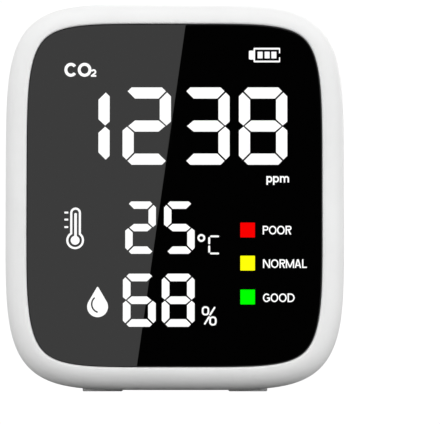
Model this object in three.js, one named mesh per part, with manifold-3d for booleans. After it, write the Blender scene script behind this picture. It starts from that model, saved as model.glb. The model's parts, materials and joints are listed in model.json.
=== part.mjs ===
// Desktop air quality monitor: a rounded-square white housing with a dark front lens over an LED
// segment display, a carbon dioxide sensor behind rear vents, two rear buttons and a fold-out leg.
//
// Millimetres. +X is to the viewer's right, +Y runs from the front to the back, +Z is up.
// The origin is at the middle of the depth and width, on the table the rubber feet stand on.
import * as THREE from "three";
import { LoftGeometry } from "three/addons/geometries/LoftGeometry.js";
import { mergeVertices } from "three/addons/utils/BufferGeometryUtils.js";
import Module from "manifold-3d";

// ---------------------------------------------------------------- driving dimensions

const WIDTH = 78.6; // housing, seen from the front
const HEIGHT = 89.7;
const DEPTH = 30;
const SQUARENESS = 5.1; // exponent of the superellipse outline
const OUTLINE_STEPS = 48;
const FOOT_PROUD = 0.3; // how far the feet lift the housing
const WALL = 2.2;
const CENTRE_Z = FOOT_PROUD + HEIGHT / 2;
const FRONT_Y = -DEPTH / 2;
const BACK_Y = DEPTH / 2;
const AIR = 0.05; // gap left between pieces that touch

const PARTING_Y = -7; // where front and rear shells meet
const SEAM = 0.15; // half the width of the seam groove
const ROLL_WIDTH = 4.7; // rounded front edge, seen from the front
const ROLL_DEPTH = 7.2;
const BEZEL = 5.2; // outline to lens opening
const LEDGE = 7.2; // outline to the inner edge of the ledge under the lens
const BACK_ROUND = 5; // rounded rear edge, seen from behind
const BACK_ROUND_DEPTH = 5.5;
const BACK_WALL = 2;
const DRAFT = 0.5; // taper of the rear shell's sides

const LENS_FRONT_Y = FRONT_Y + 0.4;
const LENS_BACK_Y = -12.95;
const LEDGE_Y = -12.75;
const DIFFUSER_Y = -12.5; // back of the diffusing sheet
const REFLECTOR_Y = -7.25; // back of the reflector block
const DISPLAY_BOARD_Y = -6; // back of the display board
const MAIN_BOARD_FRONT_Y = -1;
const MAIN_BOARD_Y = 0.2; // back of the main board, which carries most parts

// Display contents, measured from the centre of the housing.
const SEGMENT_GAP = 0.22;
const DIGIT_ROWS = [
  { z: 15.94, xs: [-20.54, -6.41, 7.12, 20.41], width: 11.3, height: 17.94, stroke: 2.7 }, // gas
  { z: -7.5, xs: [-7.8, 1.12], width: 7.24, height: 12.19, stroke: 1.74 }, // temperature
  { z: -24.21, xs: [-8.15, 0.93], width: 7.73, height: 12.39, stroke: 1.78 }, // humidity
];
const STATUS = { side: 3.37, x: 16.84, red: -8.05, yellow: -15.68, green: -23.47 };
const LEGEND_WINDOWS = [
  { x: -21.73, z: 28.98, width: 7.4, height: 3.6 }, // gas name
  { x: 20.7, z: 32.25, width: 7.7, height: 3.8 }, // battery
  { x: 23.68, z: 3.5, width: 5.4, height: 2.4 }, // gas unit
  { x: -23.21, z: -7.7, width: 4.4, height: 10.0 }, // thermometer
  { x: -17.76, z: -24.56, width: 4.9, height: 7.0 }, // droplet
  { x: 7.82, z: -11.37, width: 4.6, height: 4.4 }, // temperature unit
  { x: 8.01, z: -27.83, width: 3.4, height: 4.6 }, // humidity unit
  { x: 23.68, z: -8.1, width: 6.6, height: 2.2 }, // status words
  { x: 25.56, z: -15.73, width: 10.3, height: 2.2 },
  { x: 24.07, z: -23.47, width: 7.5, height: 2.2 },
];

const SHELL_SCREW = { x: 28.6, z: 33, boss: 2.4, tower: 3.4, counterbore: 2.3, seatY: 4 };
const BOARD_SCREW = { x: 21.5, z: 31.5 };
const VENT = { slots: 7, first: 9.5, pitch: 3.3, height: 1.7, inner: 1.4, outer: 18.5 };
const BUTTON = { x: 9, z: 1, cap: 3.4, hole: 3.6, flange: 4.6, stem: 1.5, dish: 5, dishDepth: 0.8 };
const BUTTON_TRAVEL = 0.4;
const PLUNGER = { radius: 1.7, bore: 1.85, backY: 5.2, frontY: 2.4, boreEndY: 1.9 };
const SWITCH_HEIGHT = 3.5;
const USB = { z: -20, y: 1.85, width: 8.94, height: 3.2, mouthX: 36.8, length: 7.3, wall: 0.3 };
const FOOT = { x: 17, width: 9, frontY: -5.5, backY: 9, height: 1.4 };

const STAND = { width: 31.4, pinY: 13.2, pinZ: -10, tipZ: -39, thickness: 2.8, heel: 2.4, heelDepth: 1.6 };
const POCKET = { width: 32, floorY: 11.5, top: -6.9, bottom: -39.6, wall: 1.6 };
const PIN = { radius: 0.8, clearance: 0.05, reach: 17.2 };

const DISPLAY_HALF = { width: 31.2, height: 35.6, notchX: 25.9, notchZ: 26.5 };
const DISPLAY_BOARD_HALF = { width: 34.8, height: 35.4, notchX: 25.7, notchZ: 26.3 };
const DISPLAY_RIB = { x: 33.7, z: 20, width: 2, height: 6 };
const MAIN_BOARD_HALF = { width: 35.3, height: 35, notchX: 24.8, notchZ: 27 };
const SENSOR = { x: -2, z: 19, width: 33, height: 22, boardFrontY: 3, boardBackY: 4, lidY: 9.6, domeY: 10.3 };
const CLIMATE = { x: 27.5, z: 20, standoff: 4 }; // temperature and humidity sensor, held off the warm board
const BUZZER = { x: -28, z: 17, radius: 4.7, height: 4.4, sound: 0.9 };
const MICROCONTROLLER = { x: 26, z: 8, side: 7, height: 1.1 };
const INDUCTOR = { x: 30.5, z: -12, side: 4, height: 2 };
const BATTERY = { z: -23.5, width: 38, height: 29, frontY: 1.2, backY: 8.9, seam: 36 };
const CONNECTOR = { x: 29.5, z: -6, width: 3.4, height: 6, depth: 5 };
const LEAD_RADIUS = 0.55;
const TIP_STRIP = 1.6; // height of the rubber strip at the end of the leg

// ---------------------------------------------------------------- materials

const material = (color, roughness, metalness = 0) =>
  new THREE.MeshStandardMaterial({ color, roughness, metalness });
const WHITE_ABS = material(0xf2f2f0, 0.45);
const LENS_BLACK = material(0x08080a, 0.05);
const BLACK_PLASTIC = material(0x151517, 0.6);
const MILKY = material(0xf4f6f6, 0.5);
const TAPE = material(0x26262a, 0.8);
const CIRCUIT = material(0x14532d, 0.5);
const STEEL = material(0xb8babd, 0.3, 1);
const GOLD = material(0xd4a94e, 0.28, 1);
const SILICONE = material(0xe4e4e2, 0.7);
const FOIL = material(0xc9ccd1, 0.35, 0.8);
const FOAM = material(0x3a3a3e, 0.95);
const RED_GEL = material(0xf70201, 0.3);
const YELLOW_GEL = material(0xffff0b, 0.3);
const GREEN_GEL = material(0x00ff00, 0.3);
const RED_WIRE = material(0xb01818, 0.5);
const BLACK_WIRE = material(0x121212, 0.5);

// ---------------------------------------------------------------- solids

const wasm = await Module();
wasm.setup();

function solid(geometry) {
  const bare = geometry.index ? geometry.toNonIndexed() : geometry.clone();
  bare.deleteAttribute("normal");
  bare.deleteAttribute("uv");
  const merged = mergeVertices(bare, 1e-4);
  return new wasm.Manifold(
    new wasm.Mesh({
      numProp: 3,
      vertProperties: merged.attributes.position.array,
      triVerts: new Uint32Array(merged.index.array),
    }),
  );
}

function geometryOf(manifold) {
  const mesh = manifold.getMesh();
  return new THREE.BufferGeometry()
    .setAttribute("position", new THREE.BufferAttribute(mesh.vertProperties, 3))
    .setIndex(new THREE.BufferAttribute(mesh.triVerts, 1));
}

const join = (first, ...rest) => rest.reduce((sum, geometry) => sum.add(solid(geometry)), solid(first));
const cut = (base, ...tools) => tools.reduce((left, tool) => left.subtract(solid(tool)), base);

// One point of the housing's outline, moved inwards along its normal by inset.
function outlinePoint(turn, inset) {
  const angle = 2 * Math.PI * turn;
  const power = (value, exponent) => Math.sign(value) * Math.abs(value) ** exponent;
  const across = power(Math.cos(angle), 2 / SQUARENESS);
  const up = power(Math.sin(angle), 2 / SQUARENESS);
  const normal = new THREE.Vector2(
    power(across, SQUARENESS - 1) / WIDTH,
    power(up, SQUARENESS - 1) / HEIGHT,
  ).normalize();
  return new THREE.Vector2((across * WIDTH) / 2, (up * HEIGHT) / 2).addScaledVector(normal, -inset);
}

// The outline at a depth y, as one ring of a loft.
function ring([inset, y]) {
  return Array.from({ length: OUTLINE_STEPS }, (_, step) => {
    const point = outlinePoint(step / OUTLINE_STEPS, inset);
    return new THREE.Vector3(point.x, y, point.y + CENTRE_Z);
  });
}

// Skins rings from front to back. A profile is a list of [inset, y].
const capped = (profile) => new LoftGeometry(profile.map(ring), { capStart: true, capEnd: true });
const hoop = (profile) => new LoftGeometry([...profile, profile[0]].map(ring));

// A quarter ellipse of [inset, y] points, from the side of the housing towards its face.
function roll(width, depth, sideInset, sideY, direction, steps = 6) {
  return Array.from({ length: steps + 1 }, (_, step) => {
    const angle = ((Math.PI / 2) * step) / steps;
    return [sideInset + width * (1 - Math.cos(angle)), sideY + direction * depth * Math.sin(angle)];
  });
}

// A flat shape drawn in X and Z, extruded from frontY to backY. Z is measured from the housing's centre.
function prism(shape, frontY, backY, curveSegments = 8) {
  return new THREE.ExtrudeGeometry(shape, { depth: backY - frontY, bevelEnabled: false, curveSegments })
    .rotateX(Math.PI / 2)
    .translate(0, backY, CENTRE_Z);
}

function rectangle(x, z, width, height) {
  return new THREE.Shape([
    new THREE.Vector2(x - width / 2, z - height / 2),
    new THREE.Vector2(x + width / 2, z - height / 2),
    new THREE.Vector2(x + width / 2, z + height / 2),
    new THREE.Vector2(x - width / 2, z + height / 2),
  ]);
}

function roundedRectangle(x, z, width, height, radius) {
  const [left, right, low, high] = [x - width / 2, x + width / 2, z - height / 2, z + height / 2];
  const shape = new THREE.Shape();
  shape.absarc(right - radius, low + radius, radius, -Math.PI / 2, 0, false);
  shape.absarc(right - radius, high - radius, radius, 0, Math.PI / 2, false);
  shape.absarc(left + radius, high - radius, radius, Math.PI / 2, Math.PI, false);
  shape.absarc(left + radius, low + radius, radius, Math.PI, 1.5 * Math.PI, false);
  return shape;
}

// A wide plate with its four corners cut away to clear the screw bosses.
function notchedPlate({ width, height, notchX, notchZ }) {
  const quarter = [
    [width, notchZ],
    [notchX, notchZ],
    [notchX, height],
  ];
  const points = [
    ...quarter,
    ...quarter.map(([x, z]) => [-x, z]).reverse(),
    ...quarter.map(([x, z]) => [-x, -z]),
    ...quarter.map(([x, z]) => [x, -z]).reverse(),
  ];
  return new THREE.Shape(points.map(([x, z]) => new THREE.Vector2(x, z)));
}

const block = (x, z, width, height, frontY, backY) => prism(rectangle(x, z, width, height), frontY, backY);

// A cylinder along Y.
const post = (x, z, radius, frontY, backY, sides = 16) =>
  new THREE.CylinderGeometry(radius, radius, backY - frontY, sides).translate(
    x,
    (frontY + backY) / 2,
    z + CENTRE_Z,
  );

// A solid of revolution about an axis along Y. The profile is a list of [radius, y], front to back.
const turned = (profile, x, z, sides = 20) =>
  new THREE.LatheGeometry(
    profile.map(([radius, y]) => new THREE.Vector2(radius, y)),
    sides,
  ).translate(x, 0, z + CENTRE_Z);

const corners = (x, z) => [
  [x, z],
  [-x, z],
  [x, -z],
  [-x, -z],
];

// ---------------------------------------------------------------- housing

function frontShell() {
  const frame = hoop([
    [SEAM + 0.1, PARTING_Y - SEAM],
    [0, PARTING_Y - SEAM - 0.25],
    ...roll(ROLL_WIDTH, ROLL_DEPTH, 0, FRONT_Y + ROLL_DEPTH, -1),
    [BEZEL - 0.12, FRONT_Y + 0.1],
    [BEZEL, FRONT_Y + 0.35],
    [BEZEL, LEDGE_Y],
    [LEDGE, LEDGE_Y],
    [LEDGE, LEDGE_Y + 1.35],
    [WALL, LEDGE_Y + 1.35],
    [WALL - 0.2, PARTING_Y - SEAM],
  ]);
  const bossEndY = SHELL_SCREW.seatY - 1.7;
  const bosses = corners(SHELL_SCREW.x, SHELL_SCREW.z).flatMap(([x, z]) => [
    post(x, z, SHELL_SCREW.boss, LEDGE_Y + 1, bossEndY),
    block(x + Math.sign(x) * 2.4, z, 4, 1.2, LEDGE_Y + 1, PARTING_Y - 2.4), // web to the side wall
  ]);
  const boardRibs = corners(DISPLAY_RIB.x, DISPLAY_RIB.z).map(([x, z]) =>
    block(x, z, DISPLAY_RIB.width, DISPLAY_RIB.height, LEDGE_Y + 1, REFLECTOR_Y),
  );
  const pilots = corners(SHELL_SCREW.x, SHELL_SCREW.z).map(([x, z]) => post(x, z, 1.1, -5, bossEndY + 1, 12));
  return cut(join(frame, ...bosses, ...boardRibs), ...pilots);
}

function rearOuterProfile() {
  return [
    ...roll(BACK_ROUND, BACK_ROUND_DEPTH, DRAFT, BACK_Y - BACK_ROUND_DEPTH, 1).reverse(),
    [0.15, 0],
    [0, PARTING_Y + SEAM + 0.25],
    [SEAM + 0.1, PARTING_Y + SEAM],
  ];
}

// A stadium-shaped hole through the right wall, for the charging plug.
function sidePort(width, height, fromX, toX) {
  const half = width / 2 - height / 2;
  const shape = new THREE.Shape();
  shape.absarc(half, 0, height / 2, -Math.PI / 2, Math.PI / 2, false);
  shape.absarc(-half, 0, height / 2, Math.PI / 2, 1.5 * Math.PI, false);
  return new THREE.ExtrudeGeometry(shape, { depth: toX - fromX, bevelEnabled: false, curveSegments: 6 })
    .rotateY(Math.PI / 2)
    .rotateX(Math.PI)
    .translate(fromX, USB.y, USB.z + CENTRE_Z);
}

function rearShell() {
  const outside = capped([
    ...rearOuterProfile(),
    [WALL - 0.05, PARTING_Y + SEAM], // the lip that slides inside the front shell
    [WALL - 0.05, PARTING_Y - 2],
  ]);
  const inside = capped([
    [BACK_ROUND + 1.2, BACK_Y - BACK_WALL],
    [4, BACK_Y - BACK_WALL - 1.1],
    [WALL + 0.4, BACK_Y - BACK_ROUND_DEPTH - 0.5],
    [WALL, PARTING_Y + 1.6],
    [WALL + 1, PARTING_Y + 1],
    [WALL + 1, PARTING_Y - 3],
  ]);
  const tub = cut(solid(outside), inside);
  const outerSkin = solid(capped(rearOuterProfile()));
  const additions = [
    ...corners(SHELL_SCREW.x, SHELL_SCREW.z).map(([x, z]) =>
      post(x, z, SHELL_SCREW.tower, SHELL_SCREW.seatY - 1.6, BACK_Y),
    ),
    ...corners(BOARD_SCREW.x, BOARD_SCREW.z).map(([x, z]) =>
      post(x, z, 2, MAIN_BOARD_Y + AIR, BACK_Y - 1, 16),
    ),
    block(
      0,
      (POCKET.top + POCKET.bottom) / 2,
      POCKET.width + 2 * POCKET.wall + 1.2,
      POCKET.top - POCKET.bottom + 2 * POCKET.wall,
      POCKET.floorY - POCKET.wall,
      BACK_Y - 1,
    ),
  ];
  const shell = additions.reduce((sum, piece) => sum.add(solid(piece).intersect(outerSkin)), tub);
  const holes = [
    ...corners(SHELL_SCREW.x, SHELL_SCREW.z).flatMap(([x, z]) => [
      post(x, z, SHELL_SCREW.counterbore, SHELL_SCREW.seatY, BACK_Y + 1),
      post(x, z, 1.2, SHELL_SCREW.seatY - 3, SHELL_SCREW.seatY + 1, 12),
    ]),
    ...corners(BOARD_SCREW.x, BOARD_SCREW.z).map(([x, z]) => post(x, z, 0.95, -1, 7, 10)),
    ...[BUTTON.x, -BUTTON.x].flatMap((x) => [
      post(x, BUTTON.z, BUTTON.hole, BACK_Y - BACK_WALL - 1, BACK_Y + 1, 24),
      post(x, BUTTON.z, BUTTON.dish, BACK_Y - BUTTON.dishDepth, BACK_Y + 1, 28),
    ]),
    ...ventSlots().map((slot) => prism(slot, BACK_Y - BACK_WALL - 1, BACK_Y + 1, 2)),
    block(
      0,
      (POCKET.top + POCKET.bottom) / 2,
      POCKET.width,
      POCKET.top - POCKET.bottom,
      POCKET.floorY,
      BACK_Y + 1,
    ),
    post(0, POCKET.bottom + 1, 4, BACK_Y - 2, BACK_Y + 1, 24), // fingernail scoop under the leg
    rod(-PIN.reach - 0.1, PIN.reach + 0.1, PIN.radius + PIN.clearance),
    sidePort(9.4, 3.5, USB.mouthX - 0.5, WIDTH / 2 + 1),
    sidePort(12.8, 6.6, WIDTH / 2 - 0.9, WIDTH / 2 + 1),
    ...[FOOT.x, -FOOT.x].map((x) => footBlock(x, FOOT.height + AIR, 0.1, -1)),
  ];
  return cut(shell, ...holes);
}

function ventSlots() {
  const centre = (VENT.inner + VENT.outer) / 2;
  const width = VENT.outer - VENT.inner;
  return Array.from({ length: VENT.slots }, (_, slot) => VENT.first + slot * VENT.pitch).flatMap((z) =>
    [centre, -centre].map((x) => roundedRectangle(x, z, width, VENT.height, VENT.height / 2 - 0.01)),
  );
}

// A rubber foot's block, or with a margin the recess it is pressed into.
function footBlock(x, height, margin = 0, bottomZ = 0) {
  return prism(
    roundedRectangle(
      x,
      (height + bottomZ) / 2 - CENTRE_Z,
      FOOT.width + 2 * margin,
      height - bottomZ,
      0.25,
    ),
    FOOT.frontY - margin,
    FOOT.backY + margin,
    3,
  );
}

const lens = () =>
  capped([
    [BEZEL + 0.1, LENS_BACK_Y],
    [BEZEL + 0.1, LENS_FRONT_Y + 0.2],
    [BEZEL + 0.3, LENS_FRONT_Y],
  ]);

const lensTape = () =>
  hoop([
    [LEDGE - 0.1, LEDGE_Y - 0.02],
    [BEZEL + 0.5, LEDGE_Y - 0.02],
    [BEZEL + 0.5, LENS_BACK_Y + 0.02],
    [LEDGE - 0.1, LENS_BACK_Y + 0.02],
  ]);

// ---------------------------------------------------------------- fold-out leg

// A cylinder along X at the leg's hinge.
const rod = (fromX, toX, radius, sides = 18) =>
  new THREE.CylinderGeometry(radius, radius, toX - fromX, sides)
    .rotateZ(Math.PI / 2)
    .translate((fromX + toX) / 2, STAND.pinY, STAND.pinZ + CENTRE_Z);

function standLeg() {
  const lowZ = STAND.tipZ + TIP_STRIP + AIR;
  const plate = block(
    0,
    (STAND.pinZ + lowZ) / 2,
    STAND.width,
    STAND.pinZ - lowZ,
    BACK_Y - STAND.thickness,
    BACK_Y,
  );
  const heel = block(
    0,
    STAND.pinZ + STAND.heel / 2,
    STAND.width,
    STAND.heel,
    BACK_Y - STAND.heelDepth,
    BACK_Y,
  );
  const barrel = rod(-STAND.width / 2, STAND.width / 2, 1.6);
  const panelRecess = prism(roundedRectangle(0, -24, 23, 18, 2), BACK_Y - 0.5, BACK_Y + 1, 4);
  return cut(join(plate, heel, barrel), rod(-20, 20, PIN.radius + PIN.clearance), panelRecess);
}

const standTip = () =>
  prism(
    roundedRectangle(0, STAND.tipZ + TIP_STRIP / 2, STAND.width - 4, TIP_STRIP, 0.5),
    BACK_Y - STAND.thickness + 0.1,
    BACK_Y - 0.1,
    3,
  );

// ---------------------------------------------------------------- buttons and switches

const buttonCap = (x) =>
  turned(
    [
      [0, PLUNGER.backY + AIR],
      [BUTTON.stem, PLUNGER.backY + AIR],
      [BUTTON.stem, BACK_Y - 3.1],
      [BUTTON.flange, BACK_Y - 3.1],
      [BUTTON.flange, BACK_Y - BACK_WALL - AIR],
      [BUTTON.cap, BACK_Y - BACK_WALL - AIR],
      [BUTTON.cap, BACK_Y - 0.4],
      [BUTTON.cap - 0.4, BACK_Y],
      [0, BACK_Y],
    ],
    x,
    BUTTON.z,
  );

function switchBase(x) {
  const body = block(x, BUTTON.z, 6, 6, MAIN_BOARD_Y, MAIN_BOARD_Y + SWITCH_HEIGHT);
  return cut(solid(body), post(x, BUTTON.z, PLUNGER.bore, PLUNGER.boreEndY, MAIN_BOARD_Y + 5));
}

const switchPlunger = (x) => post(x, BUTTON.z, PLUNGER.radius, PLUNGER.frontY, PLUNGER.backY);

// ---------------------------------------------------------------- segment display

// The seven bars of one digit as lists of [x, z] corners, with mitred ends and a thin dark gap between bars.
function digitSegments({ width, height, stroke }, x, z) {
  const [right, top, gap] = [width / 2, height / 2, SEGMENT_GAP / 2];
  const tip = 0.4 * stroke; // from the digit's outer edge to the point where two bars meet
  const half = stroke / 2;
  const topBar = [
    [-right + tip + gap, top - tip + gap],
    [-right + stroke + 2 * gap, top - stroke],
    [right - stroke - 2 * gap, top - stroke],
    [right - tip - gap, top - tip + gap],
    [right - 2 * tip, top],
    [-right + 2 * tip, top],
  ];
  const upperRight = [
    [right - tip, gap],
    [right, tip],
    [right, top - 2 * tip],
    [right - tip + gap, top - tip - gap],
    [right - stroke, top - stroke - 2 * gap],
    [right - stroke, half + 2 * gap],
  ];
  const middleBar = [
    [-right + tip + 2 * gap, 0],
    [-right + stroke + 2 * gap, -half],
    [right - stroke - 2 * gap, -half],
    [right - tip - 2 * gap, 0],
    [right - stroke - 2 * gap, half],
    [-right + stroke + 2 * gap, half],
  ];
  const across = (bar) => bar.map(([px, pz]) => [-px, pz]).reverse();
  const down = (bar) => bar.map(([px, pz]) => [px, -pz]).reverse();
  const bars = [
    topBar,
    upperRight,
    down(upperRight),
    down(topBar),
    across(down(upperRight)),
    across(upperRight),
    middleBar,
  ];
  return bars.map((bar) => bar.map(([px, pz]) => [px + x, pz + z]));
}

const allSegments = () => DIGIT_ROWS.flatMap((row) => row.xs.flatMap((x) => digitSegments(row, x, row.z)));

const statusHeights = [STATUS.red, STATUS.yellow, STATUS.green];

// Every opening that light passes through, as flat shapes.
function lightWindows() {
  return [
    ...allSegments().map((bar) => new THREE.Shape(bar.map(([x, z]) => new THREE.Vector2(x, z)))),
    ...statusHeights.map((z) => rectangle(STATUS.x, z, STATUS.side + 0.2, STATUS.side + 0.2)),
    ...LEGEND_WINDOWS.map(({ x, z, width, height }) => rectangle(x, z, width, height)),
  ];
}

const displayOutline = () => notchedPlate(DISPLAY_HALF);

// A plate the shape of the display with every light window cut through it.
function perforated(frontY, backY) {
  const windows = lightWindows().map((shape) => prism(shape, frontY - 1, backY + 1));
  return cut(solid(prism(displayOutline(), frontY, backY)), ...windows);
}

const statusWindow = (z) =>
  block(STATUS.x, z, STATUS.side, STATUS.side, LENS_BACK_Y + AIR, DIFFUSER_Y);

// A milky sheet over the light cavities, with openings for the three coloured windows.
function displayDiffuser() {
  const openings = statusHeights.map((z) =>
    block(STATUS.x, z, STATUS.side + 0.2, STATUS.side + 0.2, LENS_BACK_Y - 1, DIFFUSER_Y + 1),
  );
  return cut(solid(prism(displayOutline(), LENS_BACK_Y + AIR, DIFFUSER_Y)), ...openings);
}

// The board behind the reflector, with one LED chip standing in each light cavity.
function displayBoard() {
  const chipFrontY = REFLECTOR_Y - 0.5;
  const middle = (points, axis) => points.reduce((sum, point) => sum + point[axis], 0) / points.length;
  const places = [
    ...allSegments().map((bar) => [middle(bar, 0), middle(bar, 1)]),
    ...statusHeights.map((z) => [STATUS.x, z]),
    ...LEGEND_WINDOWS.map(({ x, z }) => [x, z]),
  ];
  const chips = places.map(([x, z]) => block(x, z, 0.8, 0.8, chipFrontY, DISPLAY_BOARD_Y - 0.6));
  const plate = prism(notchedPlate(DISPLAY_BOARD_HALF), REFLECTOR_Y + AIR, DISPLAY_BOARD_Y);
  return join(plate, ...chips);
}

// ---------------------------------------------------------------- electronics

function mainBoard() {
  const plate = prism(notchedPlate(MAIN_BOARD_HALF), MAIN_BOARD_FRONT_Y, MAIN_BOARD_Y);
  const holes = corners(BOARD_SCREW.x, BOARD_SCREW.z).map(([x, z]) => post(x, z, 1.05, -2, 1, 12));
  return cut(solid(plate), ...holes);
}

// A pan-head screw along Y with a six-sided socket. side is +1 if its head faces the back, -1 if the front.
function screw(x, z, seatY, side, headRadius, shankRadius, length) {
  const headHeight = 0.75 * headRadius;
  const steps = [
    [0, -length],
    [shankRadius, -length],
    [shankRadius, 0],
    [headRadius, 0],
    [headRadius, 0.7 * headHeight],
    [headRadius * 0.75, headHeight],
    [0, headHeight],
  ].map(([radius, along]) => [radius, seatY + side * (along + AIR)]);
  const body = turned(side > 0 ? steps : steps.reverse(), x, z, 12);
  const top = seatY + side * (headHeight + AIR);
  const floor = top - side * 0.5 * headRadius;
  const socket = post(x, z, 0.5 * headRadius, Math.min(floor, top + side), Math.max(floor, top + side), 6);
  return cut(solid(body), socket);
}

function usbShell() {
  const fromX = USB.mouthX - USB.length;
  const tube = sidePort(USB.width, USB.height, fromX, USB.mouthX);
  const mouth = sidePort(USB.width - 2 * USB.wall, USB.height - 2 * USB.wall, fromX + 1, USB.mouthX + 1);
  return cut(solid(tube), mouth);
}

const usbTongue = () =>
  new THREE.BoxGeometry(5, 0.7, 6.7).translate(
    USB.mouthX - USB.length + 1 + AIR + 2.5,
    USB.y,
    USB.z + CENTRE_Z,
  );

// A gas sensor: a board on two pin strips, a plated optical chamber and a membrane over its inlet.
const sensorBoard = () =>
  block(SENSOR.x, SENSOR.z, SENSOR.width, SENSOR.height, SENSOR.boardFrontY, SENSOR.boardBackY);

function pinStrip(side) {
  const x = SENSOR.x + side * (SENSOR.width / 2 - 1.4);
  return block(x, SENSOR.z, 2.4, 12.7, MAIN_BOARD_Y + AIR, SENSOR.boardFrontY - AIR);
}

function sensorChamber() {
  const [x, z] = [SENSOR.x, SENSOR.z];
  const base = SENSOR.boardBackY + AIR;
  const lid = prism(roundedRectangle(x, z, 29, 18, 2), base, SENSOR.lidY, 4);
  const dome = prism(roundedRectangle(x, z, 25, 14, 3), SENSOR.lidY - 0.2, SENSOR.domeY, 4);
  const flange = block(x, z, 31, 12, base, base + 1);
  return join(lid, dome, flange);
}

const sensorMembrane = () =>
  prism(roundedRectangle(SENSOR.x, SENSOR.z, 18, 7, 3.4), SENSOR.domeY + AIR, SENSOR.domeY + 0.35, 6);

function buzzer() {
  const { x, z, radius, height, sound } = BUZZER;
  const can = post(x, z, radius, MAIN_BOARD_Y + AIR, MAIN_BOARD_Y + height, 24);
  return cut(solid(can), post(x, z, sound, MAIN_BOARD_Y + height / 2, MAIN_BOARD_Y + height + 1, 10));
}

const chip = (x, z, width, height, thickness) =>
  block(x, z, width, height, MAIN_BOARD_Y + AIR, MAIN_BOARD_Y + AIR + thickness);

// A stadium-ended pouch with a folded top seam where the leads come out.
function batteryCell() {
  const pouch = new THREE.Shape();
  const [half, thick] = [BATTERY.width / 2, BATTERY.backY - BATTERY.frontY];
  pouch.absarc(half - 1.5, 1.5, 1.5, -Math.PI / 2, 0, false);
  pouch.absarc(half - 1.5, thick - 1.5, 1.5, 0, Math.PI / 2, false);
  pouch.absarc(-half + 1.5, thick - 1.5, 1.5, Math.PI / 2, Math.PI, false);
  pouch.absarc(-half + 1.5, 1.5, 1.5, Math.PI, 1.5 * Math.PI, false);
  const body = new THREE.ExtrudeGeometry(pouch, {
    depth: BATTERY.height,
    bevelEnabled: false,
    curveSegments: 3,
  }).translate(0, BATTERY.frontY, CENTRE_Z + BATTERY.z - BATTERY.height / 2);
  const seam = block(0, BATTERY.z + BATTERY.height / 2 + 1, BATTERY.seam, 2.4, 4.4, 5.8);
  return join(body, seam);
}

// A lead from the battery's seam to its plug, as a round wire along a smooth curve.
function batteryLead(offset) {
  const path = new THREE.CatmullRomCurve3(
    [
      [15 + offset, 5.1, BATTERY.z + BATTERY.height / 2 + 2.55],
      [15.6 + offset, 5.3, -5.2 - offset * 0.4],
      [20, 5.6, -4.6 - offset * 0.75],
      [26.3, 4.4, CONNECTOR.z - offset * 0.75],
    ].map(([x, y, z]) => new THREE.Vector3(x, y, z + CENTRE_Z)),
  );
  const section = new THREE.Shape().absarc(0, 0, LEAD_RADIUS, 0, 2 * Math.PI, false);
  return new THREE.ExtrudeGeometry(section, { extrudePath: path, steps: 10, curveSegments: 3 });
}

function climateBoard() {
  const front = MAIN_BOARD_Y + CLIMATE.standoff + 2 * AIR;
  return block(CLIMATE.x, CLIMATE.z, 9, 11, front, front + 0.8);
}

function climateChip() {
  const front = MAIN_BOARD_Y + CLIMATE.standoff + 0.8 + 3 * AIR;
  return block(CLIMATE.x, CLIMATE.z + 2, 2.5, 2.5, front, front + 0.9);
}

function batteryPlug() {
  const width = 1.3;
  const x = CONNECTOR.x - CONNECTOR.width / 2 - AIR - width / 2;
  return block(x, CONNECTOR.z, width, CONNECTOR.height - 1, 2.9, 5.1);
}

// ---------------------------------------------------------------- assembly

const monitor = new THREE.Group();

function add(name, shape, finish) {
  const geometry = shape.isBufferGeometry ? shape : geometryOf(shape);
  const mesh = new THREE.Mesh(geometry, finish);
  mesh.name = name;
  monitor.add(mesh);
}

add("front_shell", frontShell(), WHITE_ABS);
add("rear_shell", rearShell(), WHITE_ABS);
add("front_lens", lens(), LENS_BLACK);
add("lens_tape", lensTape(), TAPE);
add("foot_right", footBlock(FOOT.x, FOOT.height), SILICONE);
add("foot_left", footBlock(-FOOT.x, FOOT.height), SILICONE);
corners(SHELL_SCREW.x, SHELL_SCREW.z).forEach(([x, z], index) =>
  add(`shell_screw_${index + 1}`, screw(x, z, SHELL_SCREW.seatY, 1, 2, 1, 8), STEEL),
);
add("dust_screen", block(0, 19.4, 38.8, 23.4, BACK_Y - BACK_WALL - 0.55, BACK_Y - BACK_WALL - 0.15), FOAM);

add("stand_leg", standLeg(), WHITE_ABS);
add("stand_tip", standTip(), SILICONE);
add("stand_pin", rod(-PIN.reach, PIN.reach, PIN.radius), STEEL);

[
  ["power", BUTTON.x],
  ["mode", -BUTTON.x],
].forEach(([name, x]) => {
  add(`${name}_button`, buttonCap(x), SILICONE);
  add(`${name}_switch_base`, switchBase(x), BLACK_PLASTIC);
  add(`${name}_switch_plunger`, switchPlunger(x), BLACK_PLASTIC);
});

add("display_diffuser", displayDiffuser(), MILKY);
add("display_reflector", perforated(DIFFUSER_Y + AIR, REFLECTOR_Y), BLACK_PLASTIC);
add("display_board", displayBoard(), CIRCUIT);
add("status_window_red", statusWindow(STATUS.red), RED_GEL);
add("status_window_yellow", statusWindow(STATUS.yellow), YELLOW_GEL);
add("status_window_green", statusWindow(STATUS.green), GREEN_GEL);
add(
  "board_connector",
  block(0, -31, 25.4, 4.8, DISPLAY_BOARD_Y + AIR, MAIN_BOARD_FRONT_Y - AIR),
  BLACK_PLASTIC,
);

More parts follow.
